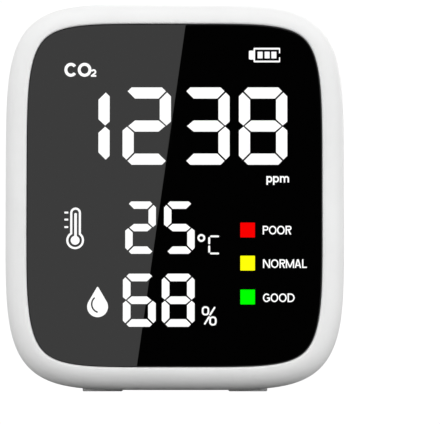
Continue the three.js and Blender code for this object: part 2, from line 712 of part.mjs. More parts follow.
add("main_board", mainBoard(), CIRCUIT);
corners(BOARD_SCREW.x, BOARD_SCREW.z).forEach(([x, z], index) =>
  add(`board_screw_${index + 1}`, screw(x, z, MAIN_BOARD_FRONT_Y, -1, 1.8, 0.85, 6), STEEL),
);
const squareChip = ({ x, z, side, height }) => chip(x, z, side, side, height);
add("microcontroller", squareChip(MICROCONTROLLER), BLACK_PLASTIC);
add("charge_inductor", squareChip(INDUCTOR), BLACK_PLASTIC);
add("buzzer", buzzer(), BLACK_PLASTIC);
add("usb_socket_shell", usbShell(), STEEL);
add("usb_socket_tongue", usbTongue(), BLACK_PLASTIC);

add("co2_sensor_board", sensorBoard(), CIRCUIT);
add("co2_sensor_pins_left", pinStrip(-1), BLACK_PLASTIC);
add("co2_sensor_pins_right", pinStrip(1), BLACK_PLASTIC);
add("co2_sensor_chamber", sensorChamber(), GOLD);
add("co2_sensor_membrane", sensorMembrane(), MILKY);
add("climate_sensor_post", chip(CLIMATE.x, CLIMATE.z, 2.4, 9, CLIMATE.standoff), BLACK_PLASTIC);
add("climate_sensor_board", climateBoard(), CIRCUIT);
add("climate_sensor_chip", climateChip(), BLACK_PLASTIC);

add("battery_cell", batteryCell(), FOIL);
add("battery_pad", block(0, BATTERY.z, 34, 20, MAIN_BOARD_Y + AIR, BATTERY.frontY - AIR), FOAM);
add(
  "battery_socket",
  chip(CONNECTOR.x, CONNECTOR.z, CONNECTOR.width, CONNECTOR.height, CONNECTOR.depth),
  MILKY,
);
add("battery_plug", batteryPlug(), MILKY);
add("battery_lead_red", batteryLead(1.2), RED_WIRE);
add("battery_lead_black", batteryLead(-1.2), BLACK_WIRE);

export default monitor;
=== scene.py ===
"""The finished look of the desktop air quality monitor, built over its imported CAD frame.

Shapes are drawn in millimetres and turned into metres when their mesh is made. +X is to the viewer's
right, +Y runs from the front to the back and +Z is up. The visible shells, lens, leg, buttons, feet and
socket are finer versions of the CAD pieces they stand for. What is inside keeps its CAD mesh.
"""

import json
import math

import bmesh
import bpy
import numpy as np
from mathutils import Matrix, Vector
from mathutils.geometry import delaunay_2d_cdt


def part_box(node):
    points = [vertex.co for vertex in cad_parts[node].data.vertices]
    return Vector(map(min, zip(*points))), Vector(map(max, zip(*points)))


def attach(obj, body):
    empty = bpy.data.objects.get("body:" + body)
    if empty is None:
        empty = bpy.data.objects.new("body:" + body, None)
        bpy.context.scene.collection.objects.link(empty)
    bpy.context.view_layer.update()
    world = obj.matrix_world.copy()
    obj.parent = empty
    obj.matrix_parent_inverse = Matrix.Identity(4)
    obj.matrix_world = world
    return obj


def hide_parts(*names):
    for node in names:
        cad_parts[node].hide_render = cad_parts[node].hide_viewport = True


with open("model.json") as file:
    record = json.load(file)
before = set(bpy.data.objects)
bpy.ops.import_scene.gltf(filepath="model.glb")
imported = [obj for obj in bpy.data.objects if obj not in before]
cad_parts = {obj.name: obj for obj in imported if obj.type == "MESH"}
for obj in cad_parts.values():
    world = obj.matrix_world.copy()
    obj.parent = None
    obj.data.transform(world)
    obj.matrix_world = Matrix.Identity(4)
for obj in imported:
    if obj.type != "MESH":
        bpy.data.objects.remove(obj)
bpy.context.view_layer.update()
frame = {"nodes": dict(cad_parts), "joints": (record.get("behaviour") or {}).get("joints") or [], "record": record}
MM = 0.001


# ---------------------------------------------------------------- measurements, from the CAD frame


def box_mm(node):
    low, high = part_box(node)
    return low / MM, high / MM


REAR_LOW, REAR_HIGH = box_mm("rear_shell")
LENS_LOW, LENS_HIGH = box_mm("front_lens")
WIDTH = REAR_HIGH.x - REAR_LOW.x
HEIGHT = REAR_HIGH.z - REAR_LOW.z
CENTRE_Z = (REAR_HIGH.z + REAR_LOW.z) / 2
BACK_Y = REAR_HIGH.y
FRONT_Y = box_mm("front_shell")[0].y
LENS_FRONT_Y = LENS_LOW.y
LENS_BACK_Y = LENS_HIGH.y
HINGE = next(joint for joint in frame["joints"] if joint["name"] == "stand_hinge")
PIN_Y = HINGE["pos_m"][1] / MM
PIN_Z = HINGE["pos_m"][2] / MM

SQUARENESS = 5.1  # exponent of the superellipse outline
PARTING_Y = -7
SEAM = 0.15  # half of the gap between the two shells
ROLL = (4.7, 7.2)  # rounded front edge: width seen from the front, depth
BACK_ROLL = (5, 5.5)
BEZEL = 5.2  # outline to lens opening
LIP = 0.45  # radius of the bezel's inner edge
LEDGE = 7.2  # outline to the opening behind the lens
LEDGE_Y = -12.75  # face that the lens is taped to
WALL = 2.2
BACK_WALL = 2
DRAFT = 0.5
AIR = 0.05  # clearance between pieces that touch

SHELL_SCREW = {"x": 28.6, "z": 33, "boss": 2.4, "tower": 3.4, "bore": 2.3, "seat": 4}
BOARD_SCREW = {"x": 21.5, "z": 31.5, "post": 2, "seat": 0.25}
VENT = {"slots": 7, "first": 9.5, "pitch": 3.3, "height": 1.7, "inner": 1.4, "outer": 18.5}
POCKET = {"width": 32, "floor": 11.5, "top": -6.9, "bottom": -39.6, "wall": 1.6}
DISPLAY_RIB = {"x": 33.7, "z": 20, "width": 2, "height": 6, "end": -7.25}
PIN_BORE = 0.85


# ---------------------------------------------------------------- flat outlines

# An outline is two arrays, points and outward normals, both of shape (count, 2), running anticlockwise.


def superellipse(count):
    """The housing's outline, denser where it bends, mirrored from one quarter so that it is symmetrical."""
    half = np.array([WIDTH / 2, HEIGHT / 2])
    turn = np.linspace(0, math.pi / 2, 6001)
    direction = np.stack([np.cos(turn), np.sin(turn)], axis=1)
    reach = (np.abs(direction / half) ** SQUARENESS).sum(axis=1) ** (-1 / SQUARENESS)
    points = direction * reach[:, None]
    normals = np.abs(points / half) ** (SQUARENESS - 1) / half
    normals /= np.linalg.norm(normals, axis=1)[:, None]
    travel = np.linalg.norm(np.diff(points, axis=0), axis=1)
    bend = np.linalg.norm(np.diff(normals, axis=0), axis=1)
    along = np.concatenate([[0], np.cumsum(travel / travel.sum() + 1.4 * bend / bend.sum())])
    picked = np.interp(np.linspace(0, along[-1], count // 4 + 1), along, np.arange(len(along)))
    picked = np.round(picked).astype(int)

    def whole(quarter):
        mirrored = (quarter[::-1] * [-1, 1])[1:]
        upper = np.concatenate([quarter, mirrored])
        lower = (upper[::-1] * [1, -1])[1:-1]
        return np.concatenate([upper, lower])

    return whole(points[picked]) + [0, CENTRE_Z], whole(normals[picked])


def rounded_polygon(corners, radii, steps=8):
    """An anticlockwise polygon whose corners are rounded. radii is one number or one for each corner."""
    corners = [np.array(corner, float) for corner in corners]
    radii = [radii] * len(corners) if np.isscalar(radii) else radii
    points, normals = [], []
    for index, (corner, radius) in enumerate(zip(corners, radii)):
        before = corner - corners[index - 1]
        after = corners[(index + 1) % len(corners)] - corner
        before, after = before / np.linalg.norm(before), after / np.linalg.norm(after)
        start = math.atan2(-before[0], before[1])
        bend = math.atan2(before[0] * after[1] - before[1] * after[0], before @ after)
        side = 1 if bend >= 0 else -1
        first = np.array([math.cos(start), math.sin(start)])
        centre = corner - before * radius * math.tan(abs(bend) / 2) - side * first * radius
        for angle in start + bend * np.arange(steps + 1) / steps:
            normal = np.array([math.cos(angle), math.sin(angle)])
            points.append(centre + side * radius * normal)
            normals.append(normal)
    return np.array(points), np.array(normals)


def rectangle(x, z, width, height, radius, steps=8):
    across, up = width / 2, height / 2
    corners = [(x - across, z - up), (x + across, z - up), (x + across, z + up), (x - across, z + up)]
    return rounded_polygon(corners, min(radius, across - 0.01, up - 0.01), steps)


def circle(x, z, radius, count=48):
    angle = np.arange(count) * 2 * math.pi / count
    normals = np.stack([np.cos(angle), np.sin(angle)], axis=1)
    return np.array([x, z]) + radius * normals, normals


# ---------------------------------------------------------------- solids

# A part is (vertices, faces). A profile is a list of (inset from the outline, place along the axis).

AXES = {
    "x": lambda first, second, along: (along, first, second),
    "y": lambda first, second, along: (first, along, second),
    "z": lambda first, second, along: (first, second, along),
}


def loft(outline, profile, closed=False, axis="y"):
    """An outline carried along an axis. A closed profile makes a ring, an open one is capped at both ends."""
    points, normals = outline
    count, rings = len(points), len(profile)
    vertices = [
        AXES[axis](first, second, along)
        for inset, along in profile
        for first, second in points - inset * normals
    ]
    faces = []
    for ring in range(rings if closed else rings - 1):
        low, high = ring * count, (ring + 1) % rings * count
        for step in range(count):
            after = (step + 1) % count
            faces.append((low + step, low + after, high + after, high + step))
    if not closed:
        faces.append(tuple(range(count)))
        faces.append(tuple(range((rings - 1) * count, rings * count)))
    return vertices, faces


def arc(across, along, radius_across, radius_along, start, end, steps):
    """Points of an elliptical arc in a profile, from one angle to another, in degrees."""
    return [
        (across + radius_across * math.cos(angle), along + radius_along * math.sin(angle))
        for angle in np.radians(np.linspace(start, end, steps + 1))
    ]


def slab(outline, low, high, round_low=0.0, round_high=0.0, axis="y", steps=4):
    """A plate between two places along an axis, with its two rims rounded by the given radii."""
    profile = [(0, low)]
    if round_low:
        profile = arc(round_low, low + round_low, round_low, round_low, 270, 180, steps)
    if round_high:
        profile += arc(round_high, high - round_high, round_high, round_high, 180, 90, steps)
    else:
        profile.append((0, high))
    return loft(outline, profile, axis=axis)


def flared(outline, low, high, flare):
    """A cutting tool that leaves a rounded rim where it comes out of a face lying at high."""
    profile = [(0, low)]
    profile += [
        (flare * (math.cos(turn) - 1), high - flare + flare * math.sin(turn))
        for turn in np.radians([0, 22.5, 45, 67.5, 90])
    ]
    profile.append((-flare, high + 1))
    return loft(outline, profile)


def turned(profile, x, z, count=64):
    """A solid of revolution about an axis along Y. The profile is a list of (radius, y)."""
    return loft(circle(x, z, 0, count), [(-radius, along) for radius, along in profile])


def merged(*parts):
    vertices, faces = [], []
    for part_vertices, part_faces in parts:
        shift = len(vertices)
        vertices += part_vertices
        faces += [tuple(index + shift for index in face) for face in part_faces]
    return vertices, faces


def linked(name, data):
    """A new object in the scene, from a mesh, a light or a camera."""
    made = bpy.data.objects.new(name, data)
    bpy.context.scene.collection.objects.link(made)
    return made


def make(name, part):
    """A new object from a part, in metres, its normals facing out."""
    vertices, faces = part
    mesh = bpy.data.meshes.new(name)
    mesh.from_pydata([tuple(value * MM for value in vertex) for vertex in vertices], [], faces)
    work = bmesh.new()
    work.from_mesh(mesh)
    bmesh.ops.remove_doubles(work, verts=work.verts, dist=1e-7)
    bmesh.ops.dissolve_degenerate(work, dist=1e-8, edges=work.edges)
    bmesh.ops.recalc_face_normals(work, faces=work.faces)
    work.to_mesh(mesh)
    work.free()
    return linked(name, mesh)


def combine(shape, operation, *parts):
    """Cuts parts from a shape, adds them or keeps what is shared. The parts don't overlap one another."""
    tool = make("tool", merged(*parts))
    cut = shape.modifiers.new("cut", "BOOLEAN")
    cut.operation = operation
    cut.solver = "MANIFOLD"
    cut.object = tool
    before = shape.data
    result = shape.evaluated_get(bpy.context.evaluated_depsgraph_get())
    shape.data = bpy.data.meshes.new_from_object(result)
    shape.modifiers.clear()
    bpy.data.meshes.remove(before)
    bpy.data.objects.remove(tool)
    return shape


def smooth(shape):
    """Smooth shading that keeps creases sharp and flat faces flat."""
    shape.data.shade_smooth()
    shape.data.set_sharp_from_angle(angle=math.radians(32))
    even = shape.modifiers.new("even", "WEIGHTED_NORMAL")
    even.keep_sharp = True
    even.weight = 60
    return shape


def place(shape, finish, body, stands_for=()):
    """Gives a finished piece its material and its body, and hides the CAD nodes it stands for."""
    shape.data.materials.clear()
    shape.data.materials.append(finish)
    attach(shape, body)
    if stands_for:
        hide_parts(*stands_for)


def corners_of(x, z):
    return [(x, z), (-x, z), (x, -z), (-x, -z)]


def post(x, z, radius, low, high, count=40):
    return slab(circle(x, z + CENTRE_Z, radius, count), low, high)


def block(x, z, width, height, low, high):
    return slab(rectangle(x, z + CENTRE_Z, width, height, 0.05, 2), low, high)


# ---------------------------------------------------------------- materials


class Nodes:
    """The node tree of a material or a world, emptied and then built up node by node."""

    def __init__(self, owner):
        owner.use_nodes = True
        self.tree = owner.node_tree
        self.tree.nodes.clear()

    def add(self, kind, sockets=None, **settings):
        """A new node. Each of its sockets is linked to another node's output or given a value."""
        node = self.tree.nodes.new(kind)
        for key, value in settings.items():
            setattr(node, key, value)
        for key, value in (sockets or {}).items():
            if isinstance(value, bpy.types.NodeSocket):
                self.tree.links.new(value, node.inputs[key])
            else:
                node.inputs[key].default_value = value
        return node

    def maths(self, kind, first, second=0.0, third=0.0):
        return self.add("ShaderNodeMath", {0: first, 1: second, 2: third}, operation=kind).outputs[0]

    def ramp(self, value, low, high, start=0.0, end=1.0, kind="LINEAR"):
        """Takes value from the range low..high to start..end, clamped."""
        sockets = {"Value": value, "From Min": low, "From Max": high, "To Min": start, "To Max": end}
        return self.add("ShaderNodeMapRange", sockets, interpolation_type=kind).outputs[0]

    def mix(self, share, first, second):
        """A colour that lies between two others. A mix node's colour sockets are numbers 6 and 7."""
        return self.add("ShaderNodeMix", {0: share, 6: first, 7: second}, data_type="RGBA").outputs[2]

    def from_camera(self):
        return self.add("ShaderNodeLightPath").outputs["Is Camera Ray"]


class Finish(Nodes):
    """A procedural material. Lengths are in millimetres, and patterns follow the object's own axes."""

    def __init__(self, name):
        self.material = bpy.data.materials.new(name)
        super().__init__(self.material)
        self.place = self.add("ShaderNodeTexCoord").outputs["Object"]
        self.relief = None

    def noise(self, size, detail=3.0, rough=0.55, stretch=(1, 1, 1)):
        """Cloudy noise from 0 to 1 whose patches are about size millimetres wide."""
        shift = self.add("ShaderNodeMapping", {"Vector": self.place, "Scale": stretch})
        sockets = {"Vector": shift.outputs[0], "Scale": 1 / (size * MM), "Detail": detail, "Roughness": rough}
        return self.add("ShaderNodeTexNoise", sockets).outputs["Fac"]

    def patches(self, size, detail=3.0, start=0.0, end=1.0):
        """Noise with more contrast, between two values."""
        return self.ramp(self.noise(size, detail), 0.3, 0.7, start, end)

    def cells(self, size, feature="F1"):
        sockets = {"Vector": self.place, "Scale": 1 / (size * MM)}
        return self.add("ShaderNodeTexVoronoi", sockets, feature=feature).outputs["Distance"]

    def bump(self, height, depth, strength=1.0):
        """Adds relief: height runs from 0 to 1 and stands depth millimetres tall."""
        sockets = {"Height": height, "Distance": depth * MM, "Strength": strength}
        if self.relief is not None:
            sockets["Normal"] = self.relief
        self.relief = self.add("ShaderNodeBump", sockets).outputs[0]

    def edges(self, radius):
        """1 on edges that hands rub, 0 on open faces."""
        rounded = self.add("ShaderNodeBevel", {"Radius": radius * MM}, samples=4).outputs[0]
        facing = self.add("ShaderNodeNewGeometry").outputs["Normal"]
        match = self.add("ShaderNodeVectorMath", {0: rounded, 1: facing}, operation="DOT_PRODUCT")
        return self.ramp(match.outputs["Value"], 0.995, 0.8)

    def finish(self, **sockets):
        """The material, from the sockets of a principled shader, with _ for the spaces in their names."""
        named = {key.replace("_", " "): value for key, value in sockets.items()}
        if self.relief is not None:
            named["Normal"] = self.relief
        return self.output(self.add("ShaderNodeBsdfPrincipled", named))

    def output(self, shader):
        self.add("ShaderNodeOutputMaterial", {"Surface": shader.outputs[0]})
        return self.material


def rgba(red, green=None, blue=None):
    return (red, red if green is None else green, red if blue is None else blue, 1)


def shade(colour, by):
    return tuple(min(1, channel * by) for channel in colour[:3]) + (1,)


def plastic(name, colour, roughness=0.4, grain=0.22, relief=0.006, drift=0.03, worn=0.1, edge=0.5):
    """Moulded plastic: a faint spark-eroded grain, slow drift of tone, and edges polished by handling."""
    made = Finish(name)
    rubbed = made.edges(edge)
    grime = made.ramp(made.noise(3.1, 5, 0.65), 0.55, 0.8, 0, drift)
    tone = made.mix(made.patches(22, 4), shade(colour, 1 - drift), shade(colour, 1 + drift / 2))
    tone = made.mix(grime, tone, shade(colour, 0.6))
    tone = made.mix(made.maths("MULTIPLY", rubbed, worn), tone, shade(colour, 1.25))
    gloss = made.ramp(made.noise(1.4, 3), 0.25, 0.75, roughness - 0.05, roughness + 0.06)
    gloss = made.maths("MULTIPLY_ADD", rubbed, -0.12, gloss)
    made.bump(made.noise(grain, 2, 0.6), relief)
    made.bump(made.noise(7, 2), relief * 2, 0.5)
    return made.finish(Base_Color=tone, Roughness=gloss)


def glass_black():
    """The smoked lens: a polished hard coat with faint wiping marks and specks of dust."""
    made = Finish("lens_black")
    specks = made.ramp(made.cells(2.3), 0.035, 0.02)
    tone = made.mix(made.maths("MULTIPLY", specks, 0.02), rgba(0.0006), rgba(0.25))
    gloss = made.ramp(made.noise(9, 4, 0.6, (1, 1, 0.25)), 0.45, 0.75, 0.004, 0.018)
    made.bump(made.noise(30, 1), 0.0015, 0.3)
    return made.finish(Base_Color=tone, Roughness=gloss, IOR=1.5)


def metal(name, colour, roughness=0.28, stretch=(1, 1, 12), scratch=0.35):
    """Brushed metal. Its scratches run across the axis with the largest number in stretch."""
    made = Finish(name)
    brushed = made.noise(scratch, 3, 0.6, stretch)
    tone = made.mix(made.ramp(made.noise(2.5, 4), 0.3, 0.75), shade(colour, 0.82), colour)
    gloss = made.ramp(brushed, 0.25, 0.75, roughness - 0.08, roughness + 0.12)
    made.bump(brushed, 0.003)
    return made.finish(Base_Color=tone, Metallic=1.0, Roughness=gloss)


def silicone():
    """Soft pale rubber with lint on it, a little duller along its edges."""
    made = Finish("silicone_pale")
    lint = made.ramp(made.cells(0.9), 0.1, 0.03)
    tone = made.mix(made.patches(5, 4), rgba(0.72, 0.725, 0.725), rgba(0.79, 0.792, 0.79))
    tone = made.mix(made.maths("MULTIPLY", lint, 0.12), tone, rgba(0.4))
    tone = made.mix(made.maths("MULTIPLY", made.edges(0.3), 0.25), tone, rgba(0.62))
    made.bump(made.noise(0.16, 2), 0.006)
    return made.finish(Base_Color=tone, Roughness=made.patches(0.8, 3, 0.56, 0.72), Sheen_Weight=0.15)


def circuit():
    """Solder mask over copper: traces show as raised lighter lines, with tinned pads here and there."""
    made = Finish("circuit_green")
    trace = made.ramp(made.cells(2.2, "DISTANCE_TO_EDGE"), 0.1, 0.06)
    pads = made.ramp(made.cells(1.7), 0.17, 0.14)
    mask = made.mix(trace, rgba(0.006, 0.075, 0.028), rgba(0.02, 0.16, 0.06))
    tone = made.mix(pads, mask, rgba(0.62, 0.6, 0.55))
    made.bump(trace, 0.02)
    return made.finish(Base_Color=tone, Metallic=pads, Roughness=made.patches(1.2, 3, 0.24, 0.4))


def weave():
    """The dust screen: fine threads over and under one another."""
    made = Finish("screen_mesh")
    pitch = 0.55
    axes = made.add("ShaderNodeSeparateXYZ", {0: made.place}).outputs

    def threads(axis):
        turns = made.maths("MULTIPLY", axis, 2 * math.pi / (pitch * MM))
        return made.ramp(made.maths("SINE", turns), -1, 1)

    height = made.maths("MAXIMUM", threads(axes["X"]), threads(axes["Z"]))
    tone = made.mix(made.ramp(height, 0.35, 0.9), rgba(0.004), rgba(0.05, 0.05, 0.055))
    made.bump(height, 0.12)
    return made.finish(Base_Color=tone, Roughness=made.patches(1, 3, 0.55, 0.75))


def foam():
    """Open-celled dark foam."""
    made = Finish("foam_dark")
    pores = made.ramp(made.cells(0.45), 0.1, 0.5)
    tone = made.mix(pores, rgba(0.012), rgba(0.045, 0.045, 0.05))
    made.bump(pores, 0.1)
    return made.finish(Base_Color=tone, Roughness=made.ramp(made.noise(2), 0, 1, 0.85, 1.0))


def foil():
    """The pouch cell's laminate: slack creases over dull aluminium."""
    made = Finish("cell_foil")
    fine = made.noise(1.6, 4)
    tone = made.mix(fine, rgba(0.5, 0.51, 0.53), rgba(0.66, 0.67, 0.69))
    made.bump(made.cells(7, "SMOOTH_F1"), 0.25, 0.6)
    made.bump(fine, 0.03)
    return made.finish(Base_Color=tone, Metallic=0.85, Roughness=made.ramp(fine, 0.3, 0.7, 0.28, 0.42))


def lit(name, colour, strength=1.0):
    """A lit part of the display: even light with the faint mottling of the diffusing sheet."""
    made = Finish(name)
    grain = made.ramp(made.noise(0.5, 2), 0.2, 0.8, strength, strength * 1.04)
    tone = made.mix(made.noise(3, 2), colour, shade(colour, 0.985))
    light = {"Emission_Color": tone, "Emission_Strength": grain}
    return made.finish(Base_Color=rgba(0.0), Roughness=0.5, Specular_IOR_Level=0.0, **light)


LOOKS = {
    "shell_white": plastic("shell_white", rgba(0.83, 0.832, 0.83), 0.42, 0.24, 0.012, 0.04),
    "lens_black": glass_black(),
    "silicone_pale": silicone(),
    "adhesive_tape": plastic("adhesive_tape", rgba(0.02), 0.75, 0.5, 0.02),
    "screen_mesh": weave(),
    "foam_dark": foam(),
    "steel": metal("steel", rgba(0.56, 0.565, 0.57)),
    "black_plastic": plastic("black_plastic", rgba(0.012), 0.5, 0.18, 0.01, 0.2, 0.03, 0.2),
    "milky_plastic": plastic("milky_plastic", rgba(0.8, 0.82, 0.82), 0.45, 0.2, 0.005, 0.03, 0.05, 0.2),
    "circuit_green": circuit(),
    "window_red": lit("window_red", rgba(0.93, 0.0005, 0.0003)),
    "window_yellow": lit("window_yellow", rgba(1.0, 1.0, 0.0033)),
    "window_green": lit("window_green", rgba(0.0, 1.0, 0.0)),
    "gold_plate": metal("gold_plate", rgba(0.78, 0.52, 0.2), 0.3, (1, 1, 1), 0.6),
    "cell_foil": foil(),
    "lead_red": plastic("lead_red", rgba(0.42, 0.01, 0.01), 0.42, 0.3, 0.01, 0.1, 0.05, 0.2),
    "lead_black": plastic("lead_black", rgba(0.01), 0.42, 0.3, 0.01, 0.2, 0.03, 0.2),
}
LIT_WHITE = lit("display_light", rgba(1.0), 1.03)
PRINT_GREY = plastic("print_grey", rgba(0.16, 0.165, 0.17), 0.5, 0.12, 0.003, 0.05, 0.05, 0.1)


# ---------------------------------------------------------------- housing

OUTLINE = superellipse(416)
SHELL_SCREWS = corners_of(SHELL_SCREW["x"], SHELL_SCREW["z"])
BOARD_SCREWS = corners_of(BOARD_SCREW["x"], BOARD_SCREW["z"])
BOSS_END = SHELL_SCREW["seat"] - 1.7
POCKET_Z = (POCKET["top"] + POCKET["bottom"]) / 2
POCKET_TALL = POCKET["top"] - POCKET["bottom"]


def front_shell():
    """The front half: a rolled edge, a bezel round the lens, screw bosses with webs, and display ribs."""
    low = PARTING_Y - SEAM
    profile = [(0.3, low), (0.12, low - 0.06), (0.03, low - 0.16), (0, low - 0.35)]
    profile += arc(ROLL[0], FRONT_Y + ROLL[1], ROLL[0], ROLL[1], 180, 270, 30)
    profile += arc(BEZEL - LIP, FRONT_Y + LIP, LIP, LIP, 270, 360, 8)
    profile += [(BEZEL, LEDGE_Y), (LEDGE, LEDGE_Y), (LEDGE, LEDGE_Y + 1.35), (WALL, LEDGE_Y + 1.35)]
    profile += [(WALL - 0.2, low)]
    shape = make("front_shell_look", loft(OUTLINE, profile, closed=True))
    base = LEDGE_Y + 1
    combine(shape, "UNION", *[post(x, z, SHELL_SCREW["boss"], base, BOSS_END) for x, z in SHELL_SCREWS])
    webs = [block(x + math.copysign(2.4, x), z, 4, 1.2, base, PARTING_Y - 2.4) for x, z in SHELL_SCREWS]
    combine(shape, "UNION", *webs)
    rib = DISPLAY_RIB
    places = corners_of(rib["x"], rib["z"])
    ribs = [block(x, z, rib["width"], rib["height"], base, rib["end"]) for x, z in places]
    combine(shape, "UNION", *ribs)
    return combine(shape, "DIFFERENCE", *[post(x, z, 1.1, -5, BOSS_END + 1, 24) for x, z in SHELL_SCREWS])


def lens():
    """A flat sheet with a softened front rim, a hair smaller than the bezel's opening."""
    edge = 0.22
    inset = BEZEL + 0.1
    rim = arc(inset + edge, LENS_FRONT_Y + edge, edge, edge, 180, 270, 6)
    return make("front_lens_look", loft(OUTLINE, [(inset, LENS_BACK_Y)] + rim))


def rear_outside():
    """The back half's outer form, with the lip that sits inside the front half."""
    profile = arc(DRAFT + BACK_ROLL[0], BACK_Y - BACK_ROLL[1], BACK_ROLL[0], BACK_ROLL[1], 90, 180, 26)
    low = PARTING_Y + SEAM
    profile += [(0.15, 0), (0, low + 0.35), (0.03, low + 0.16), (0.12, low + 0.06), (0.3, low)]
    profile += [(WALL - 0.05, low), (WALL - 0.05, low - 2.15)]
    return loft(OUTLINE, profile)


def rear_inside():
    face = BACK_Y - BACK_WALL
    profile = [(BACK_ROLL[0] + 1.2, face), (4, face - 1.1), (WALL + 0.4, BACK_Y - BACK_ROLL[1] - 0.5)]
    profile += [(WALL, PARTING_Y + 1.6), (WALL + 1, PARTING_Y + 1), (WALL + 1, PARTING_Y - 3)]
    return loft(OUTLINE, profile)


def rear_supports():
    """Screw towers, board posts and the leg pocket's walls. They end hidden inside the back wall."""
    end = BACK_Y - 1
    towers = [post(x, z, SHELL_SCREW["tower"], SHELL_SCREW["seat"] - 1.6, end) for x, z in SHELL_SCREWS]
    posts = [post(x, z, BOARD_SCREW["post"], BOARD_SCREW["seat"], end, 24) for x, z in BOARD_SCREWS]
    wall = POCKET["wall"]
    across, tall = POCKET["width"] + 2 * wall + 1.2, POCKET_TALL + 2 * wall
    return towers + posts + [block(0, POCKET_Z, across, tall, POCKET["floor"] - wall, end)]


def screw_bores():
    bore = SHELL_SCREW["bore"]
    return [flared(circle(x, z + CENTRE_Z, bore), SHELL_SCREW["seat"], BACK_Y, 0.4) for x, z in SHELL_SCREWS]


def screw_pilots():
    seat = SHELL_SCREW["seat"]
    pilots = [post(x, z, 1.2, seat - 3, seat + 1, 24) for x, z in SHELL_SCREWS]
    return pilots + [post(x, z, 0.95, -1, 7, 20) for x, z in BOARD_SCREWS]


def vents():
    """Two columns of round-ended slots."""
    across = (VENT["inner"] + VENT["outer"]) / 2
    width, height = VENT["outer"] - VENT["inner"], VENT["height"]
    slots = []
    for slot in range(VENT["slots"]):
        for x in (across, -across):
            z = CENTRE_Z + VENT["first"] + slot * VENT["pitch"]
            outline = rectangle(x, z, width, height, height / 2 - 0.01, 10)
            slots.append(flared(outline, BACK_Y - BACK_WALL - 1, BACK_Y, 0.28))
    return slots


def leg_pocket():
    outline = rectangle(0, POCKET_Z + CENTRE_Z, POCKET["width"], POCKET_TALL, 0.6, 6)
    return flared(outline, POCKET["floor"], BACK_Y, 0.35)


def finger_scoop():
    """The hollow below the leg's free end, where a fingertip lifts it."""
    deep = BACK_Y - 2
    profile = [(0, deep)]
    for turn in np.radians([15, 30, 45, 60, 72]):
        profile.append((4.1 * math.sin(turn), BACK_Y - 2 * math.cos(turn)))
    profile += [(4.25, BACK_Y - 0.2), (4.55, BACK_Y), (4.7, BACK_Y + 1)]
    return turned(profile, 0, POCKET["bottom"] + 1 + CENTRE_Z, 56)


def pin_bore(reach):
    return loft(circle(PIN_Y, PIN_Z, PIN_BORE, 28), [(0, -reach), (0, reach)], axis="x")


def socket_hole():
    hole = rectangle(USB_Y, USB_Z, 3.5, 9.4, 1.74, 12)
    return loft(hole, [(0, USB_HIGH.x - 0.5), (0, REAR_HIGH.x + 1)], axis="x")


def socket_recess():
    """The shallow oval step round the charging socket."""
    outer = REAR_HIGH.x
    profile = [(0.35, outer - 0.9), (0.1, outer - 0.8), (0, outer - 0.55), (0, outer - 0.35)]
    profile += [(-0.06, outer - 0.2), (-0.2, outer - 0.06), (-0.5, outer + 0.1), (-0.5, outer + 1)]
    return loft(rectangle(USB_Y, USB_Z, 6.6, 12.8, 3.29, 14), profile, axis="x")


def foot_pits():
    return [loft(foot_outline(side, 0.1), [(0, -1), (0, FOOT_HIGH.z + 0.05)], axis="z") for side in (1, -1)]


def rear_shell():
    shape = make("rear_shell_look", rear_outside())
    combine(shape, "DIFFERENCE", rear_inside())
    combine(shape, "UNION", *rear_supports())
    dishes = [dish(x) for x in BUTTONS.values()]
    for tools in (screw_bores(), screw_pilots(), vents(), dishes, [leg_pocket()], [finger_scoop()],
                  [pin_bore(17.3)], [socket_hole()], [socket_recess()], foot_pits()):
        combine(shape, "DIFFERENCE", *tools)
    return shape


# ---------------------------------------------------------------- feet, buttons, socket

FOOT_LOW, FOOT_HIGH = box_mm("foot_right")
FOOT_X = (FOOT_LOW.x + FOOT_HIGH.x) / 2
FOOT_Y = (FOOT_LOW.y + FOOT_HIGH.y) / 2


def foot_outline(side, margin=0.0):
    across, deep = FOOT_HIGH.x - FOOT_LOW.x, FOOT_HIGH.y - FOOT_LOW.y
    return rectangle(side * FOOT_X, FOOT_Y, across + 2 * margin, deep + 2 * margin, 1.6 + margin, 8)


def foot(side):
    """A pressed-in pad with a softened rim and two shallow tread grooves across its sole."""
    pad = slab(foot_outline(side), FOOT_LOW.z, FOOT_HIGH.z, 0.22, 0.1, "z")
    shape = make("foot_right_look" if side > 0 else "foot_left_look", pad)
    long, wide, deep = 20, 0.5, 0.14
    treads = [rectangle(side * FOOT_X, y, long, wide, 0.05, 2) for y in (-0.9, 4.4)]
    grooves = [slab(tread, FOOT_LOW.z - 1, FOOT_LOW.z + deep, axis="z") for tread in treads]
    return combine(shape, "DIFFERENCE", *grooves)


POWER_LOW, POWER_HIGH = box_mm("power_button")
MODE_LOW, MODE_HIGH = box_mm("mode_button")
BUTTON_Z = (POWER_LOW.z + POWER_HIGH.z) / 2
BUTTONS = {"power": (POWER_LOW.x + POWER_HIGH.x) / 2, "mode": (MODE_LOW.x + MODE_HIGH.x) / 2}
CAP = 3.4  # radii of the cap that shows, of the stem and of the flange
STEM = 1.5
FLANGE = (POWER_HIGH.x - POWER_LOW.x) / 2
FLANGE_Y = BACK_Y - 3  # the flange's inner face


def dish(x):
    """The tool that leaves a shallow finger dish with the button's hole in the middle of it."""
    hole = CAP + 0.2
    profile = [(0, FLANGE_Y), (hole, FLANGE_Y)]
    bowl = [(hole, 1.02), (hole + 0.06, 0.88), (hole + 0.2, 0.8), (4.2, 0.74), (4.6, 0.55), (4.95, 0.28)]
    profile += [(radius, BACK_Y - deep) for radius, deep in bowl + [(5.2, 0.08)]]
    profile += [(5.5, BACK_Y), (5.5, BACK_Y + 1), (0, BACK_Y + 1)]
    return turned(profile, x, BUTTON_Z, 72)


